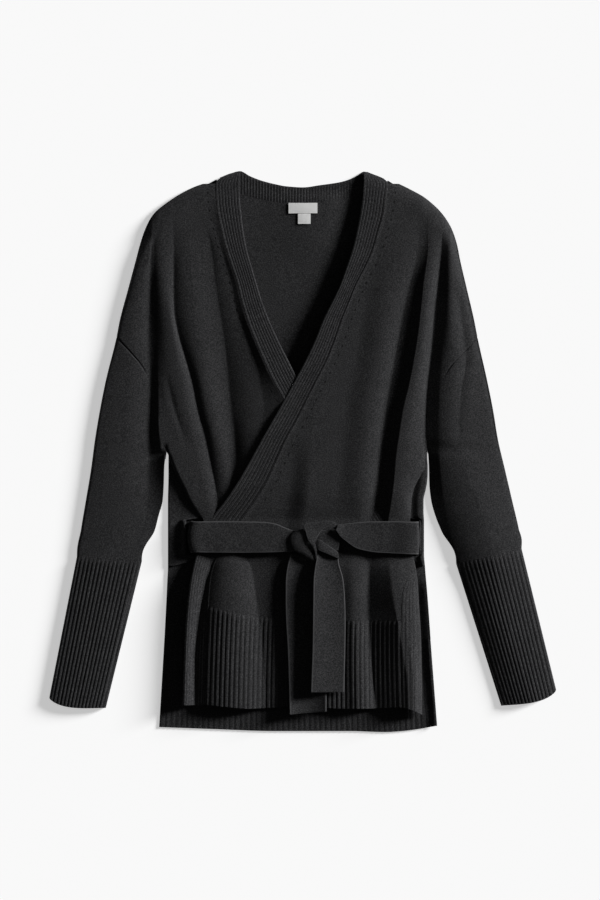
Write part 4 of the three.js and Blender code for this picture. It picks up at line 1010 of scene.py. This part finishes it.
def place_back_top(u, v):
    """Between the shoulders' outline and the armpits, under the neck seam: a patch blended from
    its top edge and the two armholes."""
    left, right = ARMHOLE["left"], ARMHOLE["right"]
    shoulders = (214, 272)
    top_c = [left(ARMHOLE_TOP), *[OUTLINE["left"](row) for row in shoulders[::-1]], *TOP_STOPS,
             *[OUTLINE["right"](row) for row in shoulders], right(ARMHOLE_TOP)]
    top_r = [ARMHOLE_TOP, *shoulders[::-1], *[NECK["seam"](c) - 0.3 for c in TOP_STOPS], *shoulders,
             ARMHOLE_TOP]
    at = np.linspace(0, 1, len(top_c))
    r = rows_at(v, BACK_ROWS, (ARMHOLE_TOP, ARMPIT))
    w = (r - ARMHOLE_TOP) / (ARMPIT - ARMHOLE_TOP)
    c = mix(left(r), right(r), u) \
        + (1 - w) * (np.interp(u, at, top_c) - mix(left(ARMHOLE_TOP), right(ARMHOLE_TOP), u))
    y = (1 - w) * np.interp(u, at, top_r) + w * ARMPIT
    return points(c, y, LAYER1 + neck_rise(c, y)), 0.0, planar(c, y)


def place_back_low(u, v):
    """Between the armpits and the hem, from fold to fold."""
    r = rows_at(v, BACK_ROWS, (ARMPIT, 456, 565.5, 639))
    c = mix(BODY["foldLeft"](r), BODY["foldRight"](r), u)
    return points(c, r, LAYER1 + curl_right(c, r, BODY["foldRight"](r))), 0.0, planar(c, r)


def place_flap(side):
    """A side of the back, folded forward over it and curled away at the belt's slot."""
    s = 1 if side == "left" else -1
    fold_at = BODY["foldLeft" if side == "left" else "foldRight"]

    def place(u, v):
        r = rows_at(v, BACK_ROWS, (456, 470, 486, 501, 511, 517.4, 519.4, 537, 554.6, 556.6, 561,
                                   565.5))
        f, e = fold_at(r), FLAP[side](r)
        b = f + s * 2.0
        curl = ease(517.4, 524, r) * (1 - ease(550, 556.6, r))
        across = np.clip((u - 0.3) / 0.7, 0, 1)
        c = mix(b, e, across)
        lift = curl * (ease(0.55, 0.9, across) - 0.3 * ease(0.9, 1, across))
        tilt = 1.6 * across if side == "left" else 2.4 * (1 - ease(0.15, 0.6, across))
        z = HIDDEN + (tilt - (0.6 if side == "left" else 0)) * (1 - curl) + 5.1 * lift
        a = np.clip(u / 0.3, 0, 1) * np.pi / 2
        start = HIDDEN + (2.4 if side == "right" else -0.6) * (1 - curl)
        z = np.where(u < 0.3, LAYER1 + 0.15 + (start - LAYER1 - 0.15) * np.sin(a), z)
        c = np.where(u < 0.3, b - s * 2.0 * np.cos(a), c)
        return points(c, r, z), 0.0, np.stack([s * (c - f) * CELL, Y(r)], 1)
    return place


class CARDIGAN_OT_back(bpy.types.Operator):
    """Back, with its sides folded forward to the side seams and notched for the belt"""

    bl_idname = "cardigan.back"
    bl_label = "Back"

    def execute(self, context):
        obj = make_piece("back_panel", [(90, BACK_ROWS, place, False)
                                        for place in (place_back_top, place_back_low)],
                         knit("plain"), BACK_WALL)
        declare(obj, ["back"])
        for side, flip in (("left", False), ("right", True)):
            obj = make_piece(f"side_turn_{side}", [(28, BACK_ROWS, place_flap(side), flip)],
                             knit("plain"), TURN_WALL)
            declare(obj, [])
        return {"FINISHED"}


NECK_RIBS = 28
# Label and tag: node and the columns and rows that they cover.
LABELS = {
    "neck_label_plain": ("neck_label", 288.6, 317.4, 203.2, 213.6),
    "size_tag_plain": ("size_tag", 298, 310.6, 213.9, 224.2),
}


def place_neck_band(side):
    """Half of the band round the back of the neck, ribbed across."""
    c0, c1 = (220, CENTRE_BACK) if side == "left" else (CENTRE_BACK, 384)

    def place(u, v):
        c = mix(c0, c1, u)
        r = mix(NECK["edge"](c) + 0.2, NECK["seam"](c) + 0.3, v)
        relief = ribs(u, NECK_RIBS, 0.4 * MM) * ease(0, 0.1, v) * (1 - ease(0.9, 1, v))
        z = LAYER1 - 0.3 + neck_rise(c, r) * ease(0, 1, v)
        return points(c, r, z), relief, planar(c, r)
    return place


def place_label(c0, c1, r0, r1):
    def place(u, v):
        c, r = mix(c0, c1, u), mix(r0, r1, v)
        bow = 0.25 * np.sin(np.pi * u) * np.sin(np.pi * v)
        return points(c, r, LAYER2 + 0.75 + neck_rise(c, r) + bow), 0.0, planar(c, r)
    return place


class CARDIGAN_OT_neck(bpy.types.Operator):
    """Ribbed band round the back of the neck, with its seam, and the plain label and tag"""

    bl_idname = "cardigan.neck"
    bl_label = "Neck"

    def execute(self, context):
        for side in ("left", "right"):
            obj = make_piece(f"neck_band_{side}",
                             [(NECK_RIBS * RIB_STEPS, 12, place_neck_band(side), False)],
                             knit("rib"), NECK_WALL)
            declare(obj, [f"band_back_{side}"])
        for name, (node, c0, c1, r0, r1) in LABELS.items():
            place = place_label(c0, c1, r0, r1)
            obj = make_piece(name, [(24, 12, place, False)], label_material(), LABEL_WALL)
            declare(obj, [node])
        return {"FINISHED"}


# Sleeves and cuffs: flattened tubes, from the end of the underside round the outer fold and over
# the top. roll is 0 where the inner end is an armhole seam and 1 where it is the underarm fold.
CUFFS = {
    "left": {"seam": (77, 556.3, 142, 561.2), "end": (49.5, 697, 106, 707.6)},
    "right": {"seam": (521.5, 548.5, 456, 563.5), "end": (556, 689.5, 501, 705.5)},
}


TUBE_TURN = 0.32
SINGLE_MM = 1.6  # lift of the underside where a tube runs out to nothing: the cloth's thickness


def tube_section(s, u, outer, inner, inner_z, even):
    """Section of a flattened tube: column, height in mm, share across its top and where that is.
    u runs up the inner end, then along the underside to base and round the outer fold to turn."""
    low = np.minimum(FOLD_Z / CELL_MM, np.abs(outer - inner) * 0.3)
    end, base, turn = 0.05, 0.26, TUBE_TURN
    a = np.clip(u / end, 0, 1) * np.pi / 2
    c = inner - s * low * (1 - np.cos(a))
    z = inner_z * (1 - np.sin(a))
    t = np.clip((u - end) / (base - end), 0, 1)
    c = np.where(u > end, mix(inner - s * low, outer + s * low, t), c)
    z = np.where(u > end, 0.0, z)
    a = np.clip((u - base) / (turn - base), 0, 1) * np.pi / 2
    c = np.where(u > base, outer + s * low * (1 - np.sin(a)), c)
    z = np.where(u > base, FOLD_Z * (1 - np.cos(a)), z)
    f = np.clip((u - turn) / (1 - turn), 0, 1)
    if not even:
        f = mix(f, 0.5 - 0.5 * np.cos(np.pi * f), 0.6)
    top = u > turn
    z = z + SINGLE_MM * (1 - ease(2, 8, np.abs(outer - inner)))
    return np.where(top, mix(outer, inner, f), c), z, np.where(top, f, 0.0), top


SLEEVES = {"left": SLEEVE_LEFT, "right": SLEEVE_RIGHT}


def tube_top(side, s, c, r, outer, roll):
    """Height of a sleeve's or cuff's upper face, from the fields where it is sewn to the front."""
    reach = 4 if s > 0 else 8
    z = mix(FOLD_Z, across(SLEEVES[side], c, r),
            quarter(s * (c - outer) * CELL_MM / reach))
    front = under if side == "left" else over
    field = np.where(roll < 1, front(c, np.minimum(r, 469)), z)
    return np.maximum(np.where(roll >= 1, z, mix(field, z, roll)), FOLD_Z)


def place_sleeve(side):
    """Sleeve from the point of the shoulder to the cuff's seam, whose slant its last rows take."""
    s = 1 if side == "left" else -1
    seam = CUFFS[side]["seam"]

    def place(u, v):
        u = u if s > 0 else 1 - u
        base = rows_at(v, SLEEVE_ROWS, (338.3, 343, 366, 404, ARMPIT, 470, 538, 560))
        roll = ease(424, 462, base)
        inner = np.where(base <= 452, ARMHOLE[side](base), INNER[side](base))
        outer = OUTLINE[side](base)
        last = ease(530, 560, base)
        outer, inner = mix(outer, seam[0], last), mix(inner, seam[2], last)
        inner_z = roll * across(SLEEVES[side], inner, base)
        c, z, _, top = tube_section(s, u, outer, inner, inner_z, False)
        seam_row = mix(seam[1], seam[3], (c - seam[0]) / (seam[2] - seam[0]))
        r = np.where(base > 530, mix(530, seam_row, (base - 530) / 30), base)  # 560 meets the seam
        z = np.where(top, tube_top(side, s, c, r, outer, roll), z)
        return points(c, r, z), 0.0, np.stack([(c - outer) * CELL, Y(r)], 1)
    return place


def place_cuff(side):
    """Ribbed cuff from the sleeve's seam to its bowed end."""
    s = 1 if side == "left" else -1
    seam, end = CUFFS[side]["seam"], CUFFS[side]["end"]

    def place(u, v):
        u = u if s > 0 else 1 - u
        outer, inner = mix(seam[0], end[0], v), mix(seam[2], end[2], v)
        base = mix((seam[1] + seam[3]) / 2, (end[1] + end[3]) / 2, v)
        c, z, f, top = tube_section(s, u, outer, inner, across(SLEEVES[side], inner, base), True)
        t = (c - outer) / (inner - outer)
        bow = 6.2 * np.sin(np.pi * np.clip(t, 0, 1) ** 0.6)
        r = mix(mix(seam[1], seam[3], t) + 0.1, mix(end[1], end[3], t) + bow, v)
        z = np.where(top, tube_top(side, s, c, r, outer, 1.0), z)
        relief = np.where(top, ribs(f, sizes().cuff_ribs, sizes().rib_hem), 0.0) * ease(0, 0.03, v)
        return points(c, r, z), relief, np.stack([t * CUFF_WIDTH, Y(r)], 1)
    return place


class CARDIGAN_OT_sleeves(bpy.types.Operator):
    """Drop-shoulder sleeves with long ribbed cuffs"""

    bl_idname = "cardigan.sleeves"
    bl_label = "Sleeves and cuffs"

    def execute(self, context):
        for side in ("left", "right"):
            obj = make_piece(f"knit_sleeve_{side}", [(110, SLEEVE_ROWS, place_sleeve(side), False)],
                             knit("plain"), sizes().wall)
            declare(obj, [f"sleeve_{side}"])
            columns = round(sizes().cuff_ribs * RIB_STEPS / (1 - TUBE_TURN))
            obj = make_piece(f"ribbed_cuff_{side}", [(columns, 60, place_cuff(side), False)],
                             knit("rib"), sizes().wall)
            declare(obj, [f"cuff_{side}"])
        return {"FINISHED"}


# Belt. Each strap lies between two edges, given as chart column, row and height in mm.
def span(d):
    """Length in mm of steps given as chart column, row and height in mm."""
    return np.hypot(np.hypot(d[:, 0], d[:, 1]) * CELL_MM, d[:, 2])


def smooth_path(rows):
    """Smooth reading of a strap's two edges by share of its length, and the length in metres."""
    p = np.array(rows, float)
    d = np.diff(p, axis=0)
    t = np.concatenate([[0], np.cumsum((span(d[:, :3]) + span(d[:, 3:])) / 2)])
    m = np.gradient(p, t, axis=0)

    def read(v):
        x = np.clip(v, 0, 1) * t[-1]
        i = np.clip(np.searchsorted(t, x, side="left") - 1, 0, len(t) - 2)
        h = (t[i + 1] - t[i])[:, None]
        w = ((x - t[i])[:, None]) / h
        return p[i] * (1 + 2 * w) * (1 - w) ** 2 + p[i + 1] * (3 - 2 * w) * w * w \
            + h * (m[i] * w * (1 - w) ** 2 - m[i + 1] * w * w * (1 - w))
    return read, t[-1] * MM


def place_strap(rows, crown, bow=0.0):
    """Strap between two edges. crown is its bulge at either end, bow pushes its far middle out."""
    read, length = smooth_path(rows)

    def place(u, v):
        p = read(v)
        a, b = p[:, :3], p[:, 3:]
        q = mix(a, b, u[:, None])
        width = span(b - a)
        bulge = 4 * u * (1 - u)
        col = q[:, 0] + bow * bulge * ease(0.5, 0.8, v)
        cloth = np.stack([u * width * MM, v * length], 1)
        p = points(col, q[:, 1], q[:, 2] + mix(*crown, v) * bulge)
        return p, 0.0, cloth, np.stack([u, v], 1)
    return place


def make_strap(name, rows, nodes, crown, across=14, along=60, flip=False, bow=0.0):
    """Strap with its rounded edges, as a finished piece."""
    obj = make_piece(name, [(across, along, place_strap(rows, crown, bow), flip)], knit("belt"),
                     sizes().belt)
    bevel = obj.modifiers.new("edge", "BEVEL")
    bevel.width = 0.0007
    bevel.segments = 3
    bevel.limit_method = "ANGLE"
    bevel.angle_limit = math.radians(50)
    for edge in obj.data.edges:
        edge.use_edge_sharp = False
    declare(obj, nodes)


# Height in mm of the belt's face, and each slot's column and rows.
BELT_TOP = 11.6
SLOTS = {"left": (192, 521.4, 552.2), "right": (417, 521.6, 554)}


def belt_turn(side):
    """Rows of the strap where it turns down through its slot and in under the front."""
    edge, top, bottom = SLOTS[side]
    s = 1 if side == "left" else -1
    low = LAYER2 + 0.2
    mid, rad = (BELT_TOP + low) / 2, (BELT_TOP - low) / 2
    rows = []
    for k in range(7):
        a = k * math.pi / 6
        rows.append((edge + s * rad * (1 - math.sin(a)) / CELL_MM, mid + rad * math.cos(a)))
    rows.append((edge + s * 11, low))
    return [(c, top, z, c, bottom, z) for c, z in rows]


BELT_STRETCH = {
    "left": [(303, 531, 11.6, 303, 550, 11.6), (292, 530, 11.6, 292, 551, 11.6),
             (275, 523.4, 12, 276, 552, 11.2), (262, 521.8, 11.4, 262, 552.4, 11.8),
             (246, 521.4, 11.8, 246, 552.6, 11.3), (228, 521.2, 11.3, 229, 552.6, 11.8),
             (210, 521.2, 11.7, 210, 552.4, 11.4)],
    "right": [(337.6, 524.4, 15.4, 335.2, 529.6, 17.6), (344, 524, 13.8, 340, 536, 16.4),
              (352, 523, 12.7, 346.5, 541.5, 15.2), (361, 522, 12, 355, 547.4, 13.7),
              (371, 521.4, 11.7, 369, 551.2, 12.1), (390, 521.2, 11.6, 390, 553, 11.6)],
}
# Strands of the knot: edges, bulge in mm and flat size in metres.
KNOT = {
    "knot_core": ([(298.6, 533, 12.4, 298.6, 548, 12.4), (305, 530, 12.6, 305, 549, 12.6),
                   (312, 530.5, 13, 312, 550, 13), (322, 530, 13.2, 322, 550, 13),
                   (331, 530, 12.6, 331, 550, 12.4), (341, 536, 12.2, 338, 550, 12.2)],
                  0.3, (0.06, 0.03)),
    "knot_wrap": ([(293.4, 531.6, 15, 303.6, 528.4, 16.2), (291, 536, 16.2, 304.6, 534, 17.8),
                   (291.2, 543, 16.4, 306.2, 541, 18.2), (295, 550.4, 16.6, 308.4, 547.4, 18.4),
                   (301.4, 554.6, 16.6, 311.4, 552.4, 18.2), (308.4, 559.4, 16, 314.6, 556.4, 17.4),
                   (313.8, 561.4, 15.4, 316, 559.6, 16.4)],
                  1.0, (0.05, 0.02)),
    "knot_fold": ([(338.5, 525.2, 15.8, 335.5, 529.6, 16.2), (333.5, 521.6, 17.4, 331.5, 527.4, 17),
                   (327, 520.6, 18.4, 327.6, 526.6, 17.8), (318, 522, 19, 323.5, 528.4, 18),
                   (304.6, 524.9, 19.8, 319.6, 533, 18.2), (306, 532, 20.4, 317, 537.4, 19),
                   (308.2, 539.5, 20.8, 315.2, 541.4, 19.8), (312.4, 546, 20.6, 316.2, 547, 19.8),
                   (314.6, 552, 19.6, 317, 552.6, 19), (315.4, 559, 18, 317.4, 559.2, 17.6)],
                  0.4, (0.1, 0.016)),
    "knot_band": ([(314.6, 546.6, 18.4, 315.6, 539.6, 17.6), (318, 549.6, 20.2, 319.4, 539.4, 19),
                   (325, 552.6, 20.4, 326, 543.6, 19.2), (332, 555.6, 19.2, 333, 548, 18.2),
                   (338.8, 558.8, 17.2, 338, 551.6, 16.4)], 0.5, (0.036, 0.016)),
}
# Heights in mm of each end's left and right edge, by row.
TAIL_Z = {
    "left": (table_line({553.5: 12, 572: 13.6, 600: 14, 690: 14, 715: 15}),
             table_line({553.5: 13.6, 572: 15, 600: 15.4, 690: 15.4, 715: 14.4})),
    "right": (table_line({553: 17.6, 572: 21.4, 600: 23, 692: 22.6}),
              table_line({553: 15.4, 560: 16.4, 572: 17, 600: 16.6, 692: 16.6})),
}
# Row, left and right column of each end.
TAILS = {
    "left": [(553.8, 291, 324), (562, 288.4, 325), (574, 286.2, 325.5), (590, 285.6, 325.6),
             (612, 285.8, 325.6), (650, 287.8, 325.8), (690, 289.2, 326), (713, 290, 326)],
    "right": [(553.2, 317.8, 338), (562, 316, 338.4), (577, 313.8, 342.6), (590, 313.4, 344.2),
              (605, 313.2, 345), (650, 312.5, 345), (675, 311.6, 344.4), (691.5, 311, 344)],
}


class CARDIGAN_OT_belt(bpy.types.Operator):
    """Belt stretches from the knot to the slots in the side seams"""

    bl_idname = "cardigan.belt"
    bl_label = "Belt"

    def execute(self, context):
        for side, flip in (("left", True), ("right", False)):
            rows = BELT_STRETCH[side] + belt_turn(side)
            make_strap(f"belt_stretch_{side}", rows, [f"belt_{side}"],
                       crown=(0.5, 0), along=110, flip=flip,
                       bow=-3.4 if side == "left" else 1.2)
        return {"FINISHED"}


class CARDIGAN_OT_knot(bpy.types.Operator):
    """Knot of the belt: core, wrap, folded strand and the band across it"""

    bl_idname = "cardigan.knot"
    bl_label = "Knot"

    def execute(self, context):
        for name, (rows, crown, flat) in KNOT.items():
            make_strap(f"{name}_strand", rows, [name],
                       crown=(crown, crown), along=48)
        return {"FINISHED"}


class CARDIGAN_OT_tails(bpy.types.Operator):
    """Free ends of the belt, hanging from the knot"""

    bl_idname = "cardigan.tails"
    bl_label = "Belt ends"

    def execute(self, context):
        for side in ("left", "right"):
            rows = []
            for r, l, e in TAILS[side]:
                slant = 1 if side == "left" and r > 700 else 0
                low, high = (float(z(r)) for z in TAIL_Z[side])
                rows.append((l, r + slant, low, e, r - 2 * slant, high))
            make_strap(f"belt_end_{side}", rows, [f"belt_tail_{side}"],
                       across=16,
                       crown=(-2.2, -3.4) if side == "left" else (-2.4, -0.6))
        return {"FINISHED"}


class CARDIGAN_OT_hidden(bpy.types.Operator):
    """Knit finish for the two hidden solids that stay as they are"""

    bl_idname = "cardigan.hidden"
    bl_label = "Hidden parts"

    def execute(self, context):
        for node, look in (("front_under_hem", knit("rib")), ("belt_back", knit("belt"))):
            mesh = bpy.data.objects[node].data
            mesh.materials.clear()
            mesh.materials.append(look)
        return {"FINISHED"}


# Half of the floor's side and its drop in metres, the key light's direction and width, and the
# camera: its height in metres, its sensor in mm and the columns and rows of the chart that it sees.
FLOOR_SIZE, FLOOR_DROP = 4.0, 0.0002
KEY_TURN, KEY_SIZE = math.radians(24), math.radians(15)
CAMERA_HEIGHT, SENSOR, VIEW_COLS, VIEW_ROWS = 5.0, 36.0, 600, 900


class CARDIGAN_OT_stage(bpy.types.Operator):
    """Pale floor, soft key light from the upper right, weak fill and the camera straight above"""

    bl_idname = "cardigan.stage"
    bl_label = "Stage"

    def execute(self, context):
        c = colours()
        bm = bmesh.new()
        bmesh.ops.create_grid(bm, x_segments=1, y_segments=1, size=FLOOR_SIZE)
        mesh = bpy.data.meshes.new("floor")
        bmesh.ops.translate(bm, verts=bm.verts, vec=(0, 0, -FLOOR_DROP))
        bm.to_mesh(mesh)
        bm.free()
        floor = bpy.data.objects.new("floor", mesh)
        context.scene.collection.objects.link(floor)
        mat, _, shader = new_material("pale_floor", 0.9)
        shader.inputs["Base Color"].default_value = (*c.floor, 1)
        shader.inputs["Specular IOR Level"].default_value = 0.1
        shader.inputs["Emission Color"].default_value = (1, 1, 1, 1)
        shader.inputs["Emission Strength"].default_value = 0.5
        mesh.materials.append(mat)

        world = bpy.data.worlds.new("studio")
        context.scene.world = world
        world.use_nodes = True
        tree = world.node_tree
        tree.nodes.clear()
        seen = tree.nodes.new("ShaderNodeBackground")
        seen.inputs["Color"].default_value = (0.93, 0.93, 0.935, 1)
        lit = tree.nodes.new("ShaderNodeBackground")
        lit.inputs["Color"].default_value = (1, 1, 1, 1)
        lit.inputs["Strength"].default_value = c.fill
        path = tree.nodes.new("ShaderNodeLightPath")
        both = tree.nodes.new("ShaderNodeMixShader")
        out = tree.nodes.new("ShaderNodeOutputWorld")
        tree.links.new(path.outputs["Is Camera Ray"], both.inputs[0])
        tree.links.new(lit.outputs[0], both.inputs[1])
        tree.links.new(seen.outputs[0], both.inputs[2])
        tree.links.new(both.outputs[0], out.inputs["Surface"])

        sun = bpy.data.lights.new("key", "SUN")
        sun.energy = c.key
        sun.angle = KEY_SIZE
        key = bpy.data.objects.new("key", sun)
        context.scene.collection.objects.link(key)
        turn, rise = KEY_TURN, c.key_height
        level = math.cos(rise)
        aim = Vector((math.cos(turn) * level, math.sin(turn) * level, math.sin(rise)))
        key.rotation_mode = "QUATERNION"
        key.rotation_quaternion = aim.to_track_quat("Z", "Y")

        lens = bpy.data.cameras.new("camera")
        camera = bpy.data.objects.new("camera", lens)
        context.scene.collection.objects.link(camera)
        lens.sensor_width = SENSOR
        lens.lens = SENSOR * CAMERA_HEIGHT / (VIEW_ROWS * CELL)
        lens.clip_end = 50.0
        camera.location = (X(VIEW_COLS / 2), Y(VIEW_ROWS / 2), CAMERA_HEIGHT)
        context.scene.camera = camera
        context.scene.view_settings.view_transform = "Standard"
        return {"FINISHED"}


OPERATORS = (
    CARDIGAN_OT_back, CARDIGAN_OT_neck, CARDIGAN_OT_fronts, CARDIGAN_OT_bands, CARDIGAN_OT_hems,
    CARDIGAN_OT_sleeves, CARDIGAN_OT_belt, CARDIGAN_OT_knot, CARDIGAN_OT_tails, CARDIGAN_OT_hidden,
    CARDIGAN_OT_stage,
)


class CARDIGAN_PT_panel(bpy.types.Panel):
    """Sizes, colours and the steps that build the cardigan"""

    bl_idname = "CARDIGAN_PT_panel"
    bl_label = "Wrap cardigan"
    bl_space_type = "VIEW_3D"
    bl_region_type = "UI"
    bl_category = "Cardigan"

    def draw(self, context):
        column = self.layout.column()
        for group in (context.scene.cardigan_sizes, context.scene.cardigan_colours):
            for name in group.bl_rna.properties.keys():
                if name not in ("rna_type", "name"):
                    column.prop(group, name)
        for step in OPERATORS:
            column.operator(step.bl_idname)


CLASSES = (CardiganSizes, CardiganColours, *OPERATORS, CARDIGAN_PT_panel)


def register():
    for cls in CLASSES:
        bpy.utils.register_class(cls)
    bpy.types.Scene.cardigan_sizes = PointerProperty(type=CardiganSizes)
    bpy.types.Scene.cardigan_colours = PointerProperty(type=CardiganColours)


def unregister():
    del bpy.types.Scene.cardigan_colours
    del bpy.types.Scene.cardigan_sizes
    for cls in reversed(CLASSES):
        bpy.utils.unregister_class(cls)


def main():
    register()
    for step in OPERATORS:
        group, name = step.bl_idname.split(".")
        getattr(getattr(bpy.ops, group), name)()


if __name__ == "__main__":
    main()
